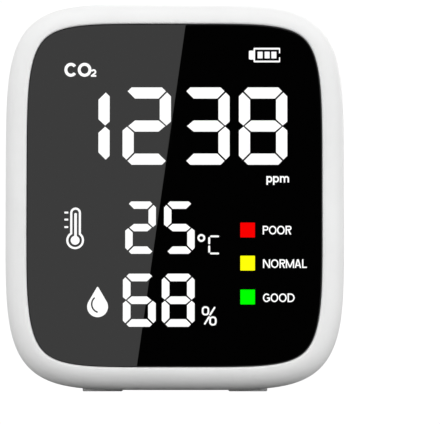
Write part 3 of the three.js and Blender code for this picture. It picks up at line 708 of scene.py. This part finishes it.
def button(name):
    """A round key with a domed cap, a flange that holds it behind the wall and a stem over its switch."""
    front, rim, step = POWER_LOW.y, 0.45, 0.1
    profile = [(0, front), (STEM - step, front), (STEM, front + step)]
    profile += [(STEM, FLANGE_Y - step), (FLANGE - step, FLANGE_Y - step), (FLANGE, FLANGE_Y)]
    profile += [(FLANGE, BACK_Y - 2.15), (FLANGE - step, BACK_Y - 2.05), (CAP, BACK_Y - 2.05)]
    profile += arc(CAP - rim, BACK_Y - 0.06 - rim, rim, rim, 0, 90, 6)
    profile += [(2.5, BACK_Y - 0.015), (1.8, BACK_Y), (0, BACK_Y)]
    return make(f"{name}_button_look", turned(profile, BUTTONS[name], BUTTON_Z))


USB_LOW, USB_HIGH = box_mm("usb_socket_shell")
USB_Y = (USB_LOW.y + USB_HIGH.y) / 2
USB_Z = (USB_LOW.z + USB_HIGH.z) / 2


def usb_shell():
    """A drawn steel shell with a rolled mouth."""
    high, wide = USB_HIGH.y - USB_LOW.y, USB_HIGH.z - USB_LOW.z
    outline = rectangle(USB_Y, USB_Z, high, wide, high / 2 - 0.01, 12)
    back, mouth, roll = USB_LOW.x, USB_HIGH.x, 0.15
    profile = [(0.3, back), (0.08, back + 0.08), (0, back + 0.3)]
    profile += arc(roll, mouth - roll, roll, roll, 180, 0, 8)
    profile += [(0.3, back + 1)]
    return make("usb_socket_shell_look", loft(outline, profile, axis="x"))


def usb_contacts():
    """Gold strips along both faces of the socket's tongue."""
    low, high = box_mm("usb_socket_tongue")
    count, pitch = 12, 0.5
    strips = []
    for y in (low.y - 0.005, high.y + 0.005):
        for index in range(count):
            z = USB_Z + (index - (count - 1) / 2) * pitch
            outline = rectangle(y, z, 0.05, 0.26, 0.02, 2)
            strips.append(slab(outline, low.x + 0.6, high.x - 0.5, axis="x"))
    return make("usb_contacts", merged(*strips))


def shell_screw(index):
    """A pan-head screw with a rounded head and a six-sided socket."""
    low, high = box_mm(f"shell_screw_{index}")
    x, z = (low.x + high.x) / 2, (low.z + high.z) / 2
    seat, head = SHELL_SCREW["seat"] + AIR, 2
    profile = [(0, low.y), (0.7, low.y), (1, low.y + 0.5), (1, seat), (head, seat), (head, seat + 0.3)]
    for turn in np.radians([15, 30, 45, 60, 72]):
        profile.append((head * math.cos(turn), seat + 0.3 + 1.2 * math.sin(turn)))
    profile.append((0, high.y))
    shape = make(f"shell_screw_{index}_look", turned(profile, x, z, 36))
    return combine(shape, "DIFFERENCE", slab(circle(x, z, 1, 6), high.y - 1, high.y + 1))


def fit(shape, look, body, stands_for=()):
    place(smooth(shape), LOOKS[look], body, stands_for)


fit(front_shell(), "shell_white", "housing", ["front_shell"])
fit(lens(), "lens_black", "housing", ["front_lens"])
fit(rear_shell(), "shell_white", "housing", ["rear_shell"])
fit(foot(1), "silicone_pale", "housing", ["foot_right"])
fit(foot(-1), "silicone_pale", "housing", ["foot_left"])
for key in BUTTONS:
    fit(button(key), "silicone_pale", f"{key}_key", [f"{key}_button"])
fit(usb_shell(), "steel", "housing", ["usb_socket_shell"])
fit(usb_contacts(), "gold_plate", "housing")
for number in range(1, 5):
    fit(shell_screw(number), "steel", "housing", [f"shell_screw_{number}"])


# ---------------------------------------------------------------- fold-out leg

LEG_LOW, LEG_HIGH = box_mm("stand_leg")
TIP_LOW, TIP_HIGH = box_mm("stand_tip")
LEG_PLATE = 2.8
BARREL = 1.6  # radius of the hinge barrel
RECESS = {"z": CENTRE_Z - 24, "width": 23, "height": 18, "depth": 0.5}
FINGER_RIB = {"count": 8, "pitch": 2, "width": 19, "height": 0.9}


def stand_leg():
    """A plate with a hinge barrel and heel, rounded edges, and finger ribs in a recess on its outer face."""
    half, outer = LEG_HIGH.x, LEG_HIGH.y
    inner, heel = outer - LEG_PLATE, outer - BARREL
    corners = [(inner, LEG_LOW.z), (outer, LEG_LOW.z), (outer, LEG_HIGH.z), (heel, LEG_HIGH.z)]
    corners += [(heel, PIN_Z), (inner, PIN_Z)]
    side = rounded_polygon(corners, [0.5, 0.5, 0.45, 0.45, 0, 0.02], 6)
    shape = make("stand_leg_look", slab(side, -half, half, 0.35, 0.35, "x"))
    end = half - AIR
    combine(shape, "UNION", slab(circle(PIN_Y, PIN_Z, BARREL), -end, end, 0.35, 0.35, "x"))
    middle, tall = (LEG_LOW.z + LEG_HIGH.z) / 2, LEG_HIGH.z - LEG_LOW.z
    plan = rectangle(0, middle, 2 * half + 0.2, tall + 0.02, 1.5, 10)
    combine(shape, "INTERSECT", slab(plan, inner - 3, outer + 1))
    recess = rectangle(0, RECESS["z"], RECESS["width"], RECESS["height"], 2, 8)
    combine(shape, "DIFFERENCE", flared(recess, outer - RECESS["depth"], outer, 0.2))
    ribs = []
    for index in range(FINGER_RIB["count"]):
        z = RECESS["z"] + (index - (FINGER_RIB["count"] - 1) / 2) * FINGER_RIB["pitch"]
        row = rectangle(0, z, FINGER_RIB["width"], FINGER_RIB["height"], 0.44, 6)
        ribs.append(slab(row, outer - 0.7, outer - 0.12, 0, 0.3))
    combine(shape, "UNION", *ribs)
    return combine(shape, "DIFFERENCE", pin_bore(20))


def stand_tip():
    tall, wide = TIP_HIGH.z - TIP_LOW.z, TIP_HIGH.x - TIP_LOW.x
    outline = rectangle(0, (TIP_LOW.z + TIP_HIGH.z) / 2, wide, tall, 0.6, 8)
    return make("stand_tip_look", slab(outline, TIP_LOW.y, TIP_HIGH.y, 0.4, 0.4))


fit(stand_leg(), "shell_white", "stand", ["stand_leg"])
fit(stand_tip(), "silicone_pale", "stand", ["stand_tip"])


# ---------------------------------------------------------------- drawn legends

# A shape is a function from places (x, z), in millimetres from the housing's centre, to the distance
# outside it, which is negative inside. Its outline is then traced on a fine grid and made into a thin sheet.


def bar(start, end, width, rounded=False):
    start, end = np.array(start, float), np.array(end, float)
    length = np.linalg.norm(end - start)
    along = (end - start) / length

    def distance(x, z):
        u = (x - start[0]) * along[0] + (z - start[1]) * along[1]
        v = (x - start[0]) * -along[1] + (z - start[1]) * along[0]
        if rounded:
            return np.hypot(u - np.clip(u, 0, length), v) - width / 2
        return np.maximum(np.abs(v) - width / 2, np.abs(u - length / 2) - length / 2)

    return distance


def round_bar(start, end, width):
    return bar(start, end, width, rounded=True)


def oval(cx, cz, rx, rz):
    def distance(x, z):
        near = np.hypot((x - cx) / rx, (z - cz) / rz)
        slope = np.hypot((x - cx) / rx**2, (z - cz) / rz**2) + 1e-9
        return near * (near - 1) / slope

    return distance


def soft_box(x0, x1, z0, z1, radius=0.0):
    def distance(x, z):
        across = np.abs(x - (x0 + x1) / 2) - (x1 - x0) / 2 + radius
        up = np.abs(z - (z0 + z1) / 2) - (z1 - z0) / 2 + radius
        corner = np.hypot(np.maximum(across, 0), np.maximum(up, 0))
        return corner + np.minimum(np.maximum(across, up), 0) - radius

    return distance


def wedge(cx, cz, start, end):
    """All that lies between two directions from a point, in degrees, under 180 apart."""
    start, end = math.radians(start), math.radians(end)

    def distance(x, z):
        above = (x - cx) * math.sin(start) - (z - cz) * math.cos(start)
        below = -(x - cx) * math.sin(end) + (z - cz) * math.cos(end)
        return np.maximum(above, below)

    return distance


def droplet(cx, cz, radius, tip_z, tip_radius):
    """A disc drawn out to a small round tip above it."""
    reach = tip_z - cz
    lean = (radius - tip_radius) / reach
    rise = math.sqrt(1 - lean * lean)

    def distance(x, z):
        across, up = np.abs(x - cx), z - cz
        along = -across * lean + up * rise
        side = across * rise + up * lean - radius
        body = np.where(along < 0, np.hypot(across, up) - radius, side)
        return np.where(along > rise * reach, np.hypot(across, up - reach) - tip_radius, body)

    return distance


def union(*shapes):
    return lambda x, z: np.minimum.reduce([shape(x, z) for shape in shapes])


def common(*shapes):
    return lambda x, z: np.maximum.reduce([shape(x, z) for shape in shapes])


def without(shape, *cuts):
    return lambda x, z: np.maximum.reduce([shape(x, z)] + [-cut(x, z) for cut in cuts])


def stroke(shape, width):
    """The band of the given width that follows a shape's outline."""
    return lambda x, z: np.abs(shape(x, z)) - width / 2


def arc_through(first, middle, last, width):
    """A round-ended stroke along the circle through three points."""
    a, b, c = (complex(*point) for point in (first, middle, last))
    turn = (c - a) / (b - a)
    centre = a + (b - a) * (abs(turn) ** 2 - turn) / (-2j * turn.imag)
    start = a - centre
    sweep = np.angle((c - centre) / start) % (2 * math.pi)
    points = [centre + start * np.exp(1j * sweep * step / 12) for step in range(13)]
    ends = [(point.real, point.imag) for point in points]
    return union(*[round_bar(one, two, width) for one, two in zip(ends, ends[1:])])


def letter(kind, x0, x1, z0, z1, width):
    """A plain sans-serif letter that fills a box, with strokes of the given width."""
    half = width / 2
    cx, cz, w, h = (x0 + x1) / 2, (z0 + z1) / 2, x1 - x0, z1 - z0
    whole, beside_stem = soft_box(x0, x1, z0, z1), soft_box(x0 + half, x1 + 1, z0, z1)
    stem, right_stem = (bar((x, z0), (x, z1), width) for x in (x0 + half, x1 - half))
    base = bar((x0, z0 + half), (x1, z0 + half), width)
    ring = stroke(oval(cx, cz, (w - width) / 2, (h - width) / 2), width)
    hub = cx - 0.04 * w
    sides = ((x0, half), (x1, -half))
    if kind == "O":
        return ring
    if kind == "C":
        return without(ring, wedge(hub, cz, -37, 37))
    if kind == "G":
        shelf = cz - half * 0.4
        hook = bar((x1 - half, z0 + 0.16 * h), (x1 - half, cz + half * 0.6), width)
        level = bar((cx + 0.06 * w, shelf), (x1, shelf), width)
        return union(without(ring, wedge(hub, cz, -12, 44)), hook, level)
    if kind in "PR":
        low = z1 - (0.56 if kind == "P" else 0.54) * h
        bowl = soft_box(x0 - w, x1 - half, low + half, z1 - half, (z1 - low) / 2 - half)
        bowl = common(stroke(bowl, width), beside_stem)
        if kind == "P":
            return union(stem, bowl)
        leg = common(bar((x0 + 0.42 * w, low + width), (x1 - half * 1.1, z0 - half), width * 1.08), whole)
        return union(stem, bowl, leg)
    if kind == "D":
        bowl = soft_box(x0 - w, x1 - half, z0 + half, z1 - half, min(w, h / 2) * 0.86)
        return union(stem, common(stroke(bowl, width), beside_stem))
    if kind == "N":
        slant = common(bar((x0 + half * 0.7, z1 + half), (x1 - half * 0.7, z0 - half), width * 1.05), whole)
        return union(stem, right_stem, slant)
    if kind == "M":
        slants = [bar((x + s * 0.6, z1 + half * 0.6), (cx, z0 + 0.06 * h), width * 0.95) for x, s in sides]
        return union(stem, right_stem, common(union(*slants), whole))
    if kind == "A":
        slants = [bar((x + s * 0.9, z0 - half), (cx - s * 0.1, z1 + half), width) for x, s in sides]
        cross = bar((x0 + 0.2 * w, z0 + 0.3 * h), (x1 - 0.2 * w, z0 + 0.3 * h), width * 0.9)
        return union(common(union(*slants), whole), cross)
    if kind == "L":
        return union(stem, base)
    if kind == "p":
        bowl = soft_box(x0 + half, x1 - half, z0 + half, z1 - half, min(w, h) / 2 - half)
        return union(bar((x0 + half, z0 - 0.36 * h), (x0 + half, z1), width), stroke(bowl, width))
    if kind == "m":
        arches = [
            soft_box(left + half, right - half, z0 - 2 * h, z1 - half, (right - left) / 2 - half - 0.02)
            for left, right in ((x0, cx + half), (cx - half, x1))
        ]
        return union(stem, *[common(stroke(arch, width), whole) for arch in arches])
    # the figure 2
    radius = (w - width) / 2
    crown = z1 - half - radius
    bend = without(
        stroke(oval(cx, crown, radius, radius), width), wedge(cx, crown, 165, 270), wedge(cx, crown, 255, 322)
    )
    slant = bar((x1 - half * 1.05, z1 - half - radius * 1.5), (x0 + half * 0.9, z0 + half), width)
    return union(bend, common(slant, whole), base)


def word(letters, z0, z1, width):
    """Letters side by side. Each is (kind, left, right)."""
    return union(*[letter(kind, left, right, z0, z1, width) for kind, left, right in letters])


def traced(shape, x0, x1, z0, z1, step=0.03):
    """Closed loops of points along a shape's outline, by marching squares over a grid."""
    xs, zs = np.arange(x0, x1 + step, step), np.arange(z0, z1 + step, step)
    field = shape(*np.meshgrid(xs, zs)) + 1e-7
    inside = field < 0
    cells = inside[:-1, :-1].astype(int) + inside[:-1, 1:] + inside[1:, 1:] + inside[1:, :-1]
    links = {}

    def crossing(edge):
        kind, row, column = edge
        row2, column2 = (row, column + 1) if kind == "across" else (row + 1, column)
        first, second = field[row, column], field[row2, column2]
        share = first / (first - second)
        return (xs[column] + share * (xs[column2] - xs[column]), zs[row] + share * (zs[row2] - zs[row]))

    for row, column in np.argwhere((cells > 0) & (cells < 4)):
        sides = [
            (("across", row, column), inside[row, column] != inside[row, column + 1]),
            (("up", row, column + 1), inside[row, column + 1] != inside[row + 1, column + 1]),
            (("across", row + 1, column), inside[row + 1, column] != inside[row + 1, column + 1]),
            (("up", row, column), inside[row, column] != inside[row + 1, column]),
        ]
        crossed = [edge for edge, mixed in sides if mixed]
        if len(crossed) == 4 and not inside[row, column]:
            crossed = crossed[1:] + crossed[:1]
        for first, second in zip(crossed[::2], crossed[1::2]):
            links.setdefault(first, []).append(second)
            links.setdefault(second, []).append(first)
    loops = []
    while links:
        start = next(iter(links))
        loop, here = [start], links.pop(start)[0]
        while here != start:
            loop.append(here)
            ahead = [edge for edge in links.pop(here) if edge != loop[-2]]
            here = ahead[0] if ahead else start
        loops.append([crossing(edge) for edge in loop])
    return [thinned(loop) for loop in loops if len(loop) > 5]


def thinned(loop, tolerance=0.0015):
    """A loop without the points that lie on its straight runs."""
    kept, start = [loop[0]], 0
    while start < len(loop) - 1:
        end = start + 1
        while end + 1 < len(loop):
            (ax, az), (bx, bz) = loop[start], loop[end + 1]
            length = math.hypot(bx - ax, bz - az) + 1e-12
            between = loop[start + 1 : end + 1]
            if any(abs((x - ax) * (bz - az) - (z - az) * (bx - ax)) > tolerance * length for x, z in between):
                break
            end += 1
        kept.append(loop[end])
        start = end
    return kept


def sheet(loops, low, high):
    """A thin closed plate between two depths, filled inside an odd number of the loops."""
    points, edges = [], []
    for loop in loops:
        start = len(points)
        points += [Vector(point) for point in loop]
        edges += [(start + step, start + (step + 1) % len(loop)) for step in range(len(loop))]
    flat, _, triangles = delaunay_2d_cdt(points, edges, [], 0, 1e-6)[:3]
    starts, ends = (np.array([points[edge[end]] for edge in edges]) for end in (0, 1))
    kept, rim = [], {}
    for triangle in triangles:
        x, z = sum((flat[index] for index in triangle), Vector((0, 0))) / 3
        spans = (starts[:, 1] > z) != (ends[:, 1] > z)
        first, last = starts[spans], ends[spans]
        crossings = first[:, 0] + (z - first[:, 1]) * (last[:, 0] - first[:, 0]) / (last[:, 1] - first[:, 1])
        if (crossings > x).sum() % 2:
            kept.append(tuple(triangle))
            for edge in zip(triangle, triangle[1:] + triangle[:1]):
                rim[frozenset(edge)] = None if frozenset(edge) in rim else edge
    count = len(flat)
    vertices = [(x, y, z + CENTRE_Z) for y in (low, high) for x, z in flat]
    faces = kept + [tuple(index + count for index in triangle) for triangle in kept]
    faces += [(one, two, two + count, one + count) for one, two in filter(None, rim.values())]
    return vertices, faces


# ---------------------------------------------------------------- display

LIGHT_Y = (LENS_FRONT_Y - 0.03, LENS_FRONT_Y + 0.05)  # a lit sheet's faces, on each side of the lens's own
LEGEND_SCALE = 0.9914
LEGEND_SHIFT = (-0.115, -0.564)


def glow(name, part, finish=LIT_WHITE):
    place(make(name, part), finish, "housing")


def legend(name, shape, x0, x1, z0, z1, step=0.03):
    """A lit legend. All are drawn on one grid, which is then brought to the display's own size and place."""
    loops = [
        [(LEGEND_SCALE * x + LEGEND_SHIFT[0], LEGEND_SCALE * z + LEGEND_SHIFT[1]) for x, z in loop]
        for loop in traced(shape, x0, x1, z0, z1, step)
    ]
    glow(name, sheet(loops, *LIGHT_Y))


SEGMENT_GAP = 0.27
# height of the row's centre, centres of the digits, digit width and height, bar width, what is shown
DIGITS = {
    "lit_gas_digits": (15.94, [-20.54, -6.41, 7.12, 20.41], 11.15, 17.88, 2.58, "1238"),
    "lit_temperature_digits": (-7.5, [-7.8, 1.12], 7.04, 12.06, 1.7, "25"),
    "lit_humidity_digits": (-24.21, [-8.07, 0.87], 7.55, 12.2, 1.75, "68"),
}
# bars: top, upper right, lower right, bottom, lower left, upper left, middle
LIT_BARS = {
    "1": (1, 2),
    "2": (0, 1, 6, 4, 3),
    "3": (0, 1, 6, 2, 3),
    "5": (0, 5, 6, 2, 3),
    "6": (0, 5, 6, 4, 3, 2),
    "8": (0, 1, 2, 3, 4, 5, 6),
}


def digit_bars(width, height, thick):
    """The seven bars of a digit about its centre, with chamfered ends and narrow gaps between them."""
    right, top, gap, half, tip = width / 2, height / 2, SEGMENT_GAP / 2, thick / 2, 0.4 * thick
    corner = right - tip - gap
    end = right - thick - 2 * gap
    point = right - tip - 2 * gap
    top_bar = [
        (-corner, top - tip + gap),
        (-end, top - thick),
        (end, top - thick),
        (corner, top - tip + gap),
        (right - 2 * tip, top),
        (2 * tip - right, top),
    ]
    upper_right = [
        (right - tip, gap),
        (right, tip),
        (right, top - 2 * tip),
        (right - tip + gap, top - tip - gap),
        (right - thick, top - thick - 2 * gap),
        (right - thick, half + 2 * gap),
    ]
    middle = [(-point, 0), (-end, -half), (end, -half), (point, 0), (end, half), (-end, half)]
    upper_left = [(-x, z) for x, z in upper_right]
    lower = [[(x, -z) for x, z in one] for one in (upper_right, top_bar, upper_left)]
    return [top_bar, upper_right, *lower, upper_left, middle]


for name, (z, places, width, height, thick, figures) in DIGITS.items():
    bars = digit_bars(width, height, thick)
    glow(name, merged(*[
        sheet([[(px + x, pz + z) for px, pz in bars[index]]], *LIGHT_Y)
        for x, figure in zip(places, figures)
        for index in LIT_BARS[figure]
    ]))

gas_name = union(
    word([("C", -25.53, -22.5), ("O", -22.42, -19.24)], 28.15, 31.41, 0.7),
    letter("2", -19.36, -18.1, 28.15, 29.92, 0.4),
)
legend("lit_gas_name", gas_name, -26, -17.5, 27.5, 32)

ppm = word([("p", 21.46, 22.85), ("p", 22.99, 24.4), ("m", 24.6, 26.74)], 3.49, 5.0, 0.37)
legend("lit_gas_unit", ppm, 21, 27.2, 2.4, 5.4)

battery = union(
    without(
        soft_box(18.49, 24.69, 31.51, 34.92, 0.25),
        soft_box(18.85, 24.41, 31.93, 34.5),
        soft_box(24, 26, 32.7, 33.63),
    ),
    soft_box(17.41, 18.7, 32.16, 34.26, 0.3),
    *[soft_box(x, x + 1.17, 32.43, 34.01, 0.1) for x in (19.44, 21.07, 22.66)],
)
legend("lit_battery", battery, 17, 25.2, 31, 35.2)

BULB = (-22.94, -9.94)
TUBE_X = -22.85
thermometer = union(
    without(
        union(oval(*BULB, 2.06, 2.06), round_bar((TUBE_X, -9), (TUBE_X, -3.58), 2.5)),
        oval(*BULB, 1.57, 1.57),
        round_bar((TUBE_X, -9), (TUBE_X, -3.58), 1.5),
    ),
    oval(*BULB, 1.04, 1.04),
    round_bar((TUBE_X, -9.4), (TUBE_X, -3.9), 0.62),
    *[soft_box(-25.45, -24.55, z - 0.22, z + 0.22, 0.1) for z in (-3.5, -5.13, -6.87)],
)
legend("lit_thermometer", thermometer, -26, -20.5, -12.4, -1.9)

gleam = arc_through((-18.47, -23.35), (-19.05, -25.0), (-17.8, -26.6), 0.36)
drop = without(droplet(-17.7, -25.36, 2.42, -20.95, 0.2), gleam)
legend("lit_droplet", drop, -20.8, -14.8, -28.4, -20.2)

degrees = union(
    stroke(oval(6.36, -9.4, 0.68, 0.68), 0.47),
    *[round_bar((8.6, z), (10.25, z), 0.44) for z in (-9.02, -13.0)],
    *[round_bar((8.18, top), (8.18, bottom), 0.46) for top, bottom in ((-9.42, -10.63), (-11.37, -12.6))],
)
legend("lit_temperature_unit", degrees, 4.9, 11, -13.7, -7.9)

percent = union(
    *[
        stroke(soft_box(x - 0.66, x + 0.66, z - 0.86, z + 0.86, 0.58), 0.42)
        for x, z in ((7.33, -26.32), (9.04, -28.66))
    ],
    round_bar((9.42, -25.58), (8.4, -27.2), 0.42),
    round_bar((8.15, -27.72), (7.18, -29.3), 0.42),
)
legend("lit_humidity_unit", percent, 5.8, 10.6, -30.4, -24.8)

WORD_STROKE = 0.31
WORD_HALF = 1.01  # half of a capital's height
# height of each word's centre, then its letters with their left and right edges
WORDS = {
    "lit_word_poor": (-7.58, [
        ("P", 20.60, 21.94), ("O", 22.04, 23.81), ("O", 23.92, 25.71), ("R", 25.90, 27.30),
    ]),
    "lit_word_normal": (-15.36, [
        ("N", 20.65, 22.32), ("O", 22.49, 24.27), ("R", 24.49, 25.85),
        ("M", 25.94, 27.90), ("A", 27.99, 29.54), ("L", 29.73, 30.85),
    ]),
    "lit_word_good": (-23.28, [
        ("G", 20.64, 22.31), ("O", 22.42, 24.19), ("O", 24.33, 26.15), ("D", 26.35, 28.01),
    ]),
}
for name, (z, letters) in WORDS.items():
    shape = word(letters, z - WORD_HALF, z + WORD_HALF, WORD_STROKE)
    legend(name, shape, 20.2, 31.4, z - 1.4, z + 1.4, 0.025)

STATUS_HALF = 1.71
for colour in ("red", "yellow", "green"):
    low, high = box_mm(f"status_window_{colour}")
    z = (low.z + high.z) / 2 - CENTRE_Z
    square = soft_box(low.x, high.x, z - STATUS_HALF, z + STATUS_HALF, 0.12)
    loops = traced(square, low.x - 1, high.x + 1, z - 2.2, z + 2.2)
    window = f"window_{colour}"
    glow(f"lit_{colour}", sheet(loops, *LIGHT_Y), LOOKS[window])


# ---------------------------------------------------------------- button symbols

MARK_STROKE = 0.26


def power_symbol(x, z):
    ring = without(stroke(oval(x, z, 1.05, 1.05), MARK_STROKE), wedge(x, z, 52, 128))
    return union(ring, round_bar((x, z + 0.15), (x, z + 1.35), MARK_STROKE))


def mode_symbol(x, z):
    """Three level strokes, each shorter than the one above."""
    rows = [(1 - 0.25 * row, z + 0.7 * (1 - row)) for row in range(3)]
    return union(*[round_bar((x - reach, level), (x + reach, level), MARK_STROKE) for reach, level in rows])


for key, symbol in (("power", power_symbol), ("mode", mode_symbol)):
    x, z = BUTTONS[key], BUTTON_Z - CENTRE_Z
    loops = traced(symbol(x, z), x - 2, x + 2, z - 2, z + 2)
    mark = make(f"{key}_symbol", sheet(loops, BACK_Y - 0.1, BACK_Y + 0.05))
    place(mark, PRINT_GREY, f"{key}_key")


# ---------------------------------------------------------------- CAD pieces that keep their mesh

SOFT_EDGES = {"charge_inductor": 0.4, "buzzer": 0.3, "co2_sensor_chamber": 0.5, "climate_sensor_post": 0.1,
              "usb_socket_tongue": 0.12}
for node_name in ("microcontroller", "climate_sensor_chip", "co2_sensor_pins_left", "co2_sensor_pins_right"):
    SOFT_EDGES[node_name] = 0.15
for node_name in ("battery_socket", "battery_plug", "board_connector", "stand_pin", "power_switch_base",
                  "mode_switch_base", "power_switch_plunger", "mode_switch_plunger"):
    SOFT_EDGES[node_name] = 0.2
for part in frame["record"]["subparts"]:
    node = frame["nodes"][part["node"]]
    if node.hide_render:
        continue
    node.data.materials.clear()
    node.data.materials.append(LOOKS[part["material_slot"]])
    if part["node"] in SOFT_EDGES:
        soften = node.modifiers.new("soften", "BEVEL")
        soften.width = SOFT_EDGES[part["node"]] * MM
        soften.segments = 3
        soften.limit_method = "ANGLE"
        soften.angle_limit = math.radians(40)
        soften.harden_normals = True


# ---------------------------------------------------------------- camera

CENTRE = Vector((0, 0, CENTRE_Z * MM))
AIM = Vector((10.48, LENS_FRONT_Y, CENTRE_Z - 3.9)) * MM
DISTANCE = 0.75
TILT = math.radians(-3)  # below zero, the camera stands low and looks up a little
FRAME_WIDTH = 101.3 * MM  # what the picture's width takes in at AIM
SENSOR = 36


def aimed(name, data, where, aim):
    """A camera or a light that stands at one place and faces another."""
    made = linked(name, data)
    made.location = where
    made.rotation_mode = "QUATERNION"
    made.rotation_quaternion = (Vector(aim) - Vector(where)).to_track_quat("-Z", "Y")
    return made


back = Vector((0, -math.cos(TILT), math.sin(TILT)))
camera = aimed("camera", bpy.data.cameras.new("camera"), AIM + back * DISTANCE, AIM)
camera.data.sensor_width = SENSOR
camera.data.lens = SENSOR * DISTANCE / FRAME_WIDTH
camera.data.clip_start = 0.05
camera.data.clip_end = 20
bpy.context.scene.camera = camera


# ---------------------------------------------------------------- floor and cards

STUDIO_WHITE = 1.05  # brightness of what the camera sees round the object
REACH = 4


def stage_sheet(name, corners, material):
    mesh = bpy.data.meshes.new(name)
    mesh.from_pydata([tuple(corner) for corner in corners], [], [tuple(range(len(corners)))])
    mesh.materials.append(material)
    made = linked(name, mesh)
    return made


def floor_material():
    """Pale round the object, fading to the studio's white far off and at a grazing view.

    It sends back less light than it shows, so that it doesn't fill the shadows.
    """
    made = Finish("floor")
    seen = made.from_camera()
    far = made.add("ShaderNodeVectorMath", {0: made.place}, operation="LENGTH").outputs["Value"]
    upward = made.add("ShaderNodeNewGeometry").outputs["Incoming"]
    grazing = made.ramp(made.add("ShaderNodeSeparateXYZ", {0: upward}).outputs["Z"], 0.04, 0.01)
    fade = made.maths("MULTIPLY", made.maths("MAXIMUM", made.ramp(far, 0.05, 0.45), grazing), seen)
    pale = made.mix(made.noise(60, 3), rgba(0.93), rgba(0.96))
    return made.finish(
        Base_Color=made.mix(seen, rgba(0.4), made.mix(fade, pale, rgba(0.0))),
        Roughness=0.9,
        Specular_IOR_Level=0.0,
        Emission_Color=rgba(1.0),
        Emission_Strength=made.maths("MULTIPLY", fade, STUDIO_WHITE),
    )


floor_corners = [(-REACH, -REACH, 0), (REACH, -REACH, 0), (REACH, REACH, 0), (-REACH, REACH, 0)]
stage_sheet("floor", floor_corners, floor_material()).visible_glossy = False

# Two cards in front of the lens, seen only in its reflection: a black one, and a grey one whose slanted edge
# is mirrored as the line that crosses the lens. Their corners are given where they show on the lens.
CARD_Y = -0.52
LENS_PLANE = LENS_FRONT_Y * MM
MIRRORED_EYE = Vector((camera.location.x, 2 * LENS_PLANE - camera.location.y, camera.location.z))
EDGE_TOP, EDGE_BOTTOM = (2.41, 38.5), (-8.05, -35.26)


def mirrored(x, z, y):
    """The place at depth y whose reflection the camera sees at (x, z) on the lens, in mm from its centre."""
    on_lens = Vector((x * MM, LENS_PLANE, (z + CENTRE_Z) * MM))
    return MIRRORED_EYE + (on_lens - MIRRORED_EYE) * (y - MIRRORED_EYE.y) / (LENS_PLANE - MIRRORED_EYE.y)


def edge_at(z):
    share = (z - EDGE_BOTTOM[1]) / (EDGE_TOP[1] - EDGE_BOTTOM[1])
    return EDGE_BOTTOM[0] + share * (EDGE_TOP[0] - EDGE_BOTTOM[0])


def card(name, corners, y, brightness):
    made = Finish(name)
    light = made.add("ShaderNodeEmission", {"Color": rgba(1.0), "Strength": brightness})
    shown = stage_sheet(name, [mirrored(x, z, y) for x, z in corners], made.output(light))
    shown.visible_camera = False
    shown.visible_diffuse = False
    shown.visible_shadow = False
    shown.visible_transmission = False


card("black_card", [(-90, -110), (90, -110), (90, 80), (-90, 80)], CARD_Y - 0.01, 0.0)
card("grey_card", [(-85, -105), (edge_at(-105), -105), (edge_at(75), 75), (-85, 75)], CARD_Y, 1.12)


# ---------------------------------------------------------------- light

SKY = [(0.0, 0.05), (0.38, 0.12), (0.5, 0.5), (0.62, 0.85), (1.0, 0.95)]  # brightness from below to above
FRONT_LIGHT = 1.0  # brightness of all that lies in front of the object

world = bpy.data.worlds.new("studio")
bpy.context.scene.world = world
studio = Nodes(world)
direction = studio.add("ShaderNodeTexCoord").outputs["Generated"]
axes = studio.add("ShaderNodeSeparateXYZ", {0: direction}).outputs
sky = studio.add("ShaderNodeValToRGB", {0: studio.ramp(axes["Z"], -1, 1)})
while len(sky.color_ramp.elements) < len(SKY):
    sky.color_ramp.elements.new(0.5)
for element, (where, value) in zip(sky.color_ramp.elements, SKY):
    element.position = where
    element.color = rgba(value)
behind = studio.ramp(axes["Y"], -0.05, 0.45, kind="SMOOTHSTEP")
blend = studio.add("ShaderNodeMix", {"Factor": behind, "A": FRONT_LIGHT, "B": sky.outputs[0]})
lamp = studio.add("ShaderNodeBackground", {"Color": rgba(1.0), "Strength": blend.outputs[0]})
white = studio.add("ShaderNodeBackground", {"Color": rgba(1.0), "Strength": STUDIO_WHITE})
both = studio.add("ShaderNodeMixShader", {0: studio.from_camera(), 1: lamp.outputs[0], 2: white.outputs[0]})
studio.add("ShaderNodeOutputWorld", {"Surface": both.outputs[0]})


def softbox(name, where, aim, size, power, reflected=False):
    light = bpy.data.lights.new(name, "AREA")
    light.shape = "SQUARE"
    light.size = size
    light.energy = power
    made = aimed(name, light, where, aim)
    made.visible_glossy = reflected
    made.visible_camera = False


softbox("low_front", (0, -0.8, 0.02), CENTRE, 0.3, 0.75)
softbox("low_near", (0, -0.4, 0.062), (0, 0, 0.03), 0.12, 0.1)
softbox("left", (-0.7, -0.35, 0.1), CENTRE, 0.5, 1.05)
softbox("right", (0.7, -0.35, 0.1), CENTRE, 0.5, 1.7)
softbox("rear", (0.3, 1.05, 0.5), CENTRE, 0.7, 3.0, reflected=True)

view = bpy.context.scene.view_settings
view.view_transform = "Standard"
view.look = "None"
view.exposure = 0
view.gamma = 1
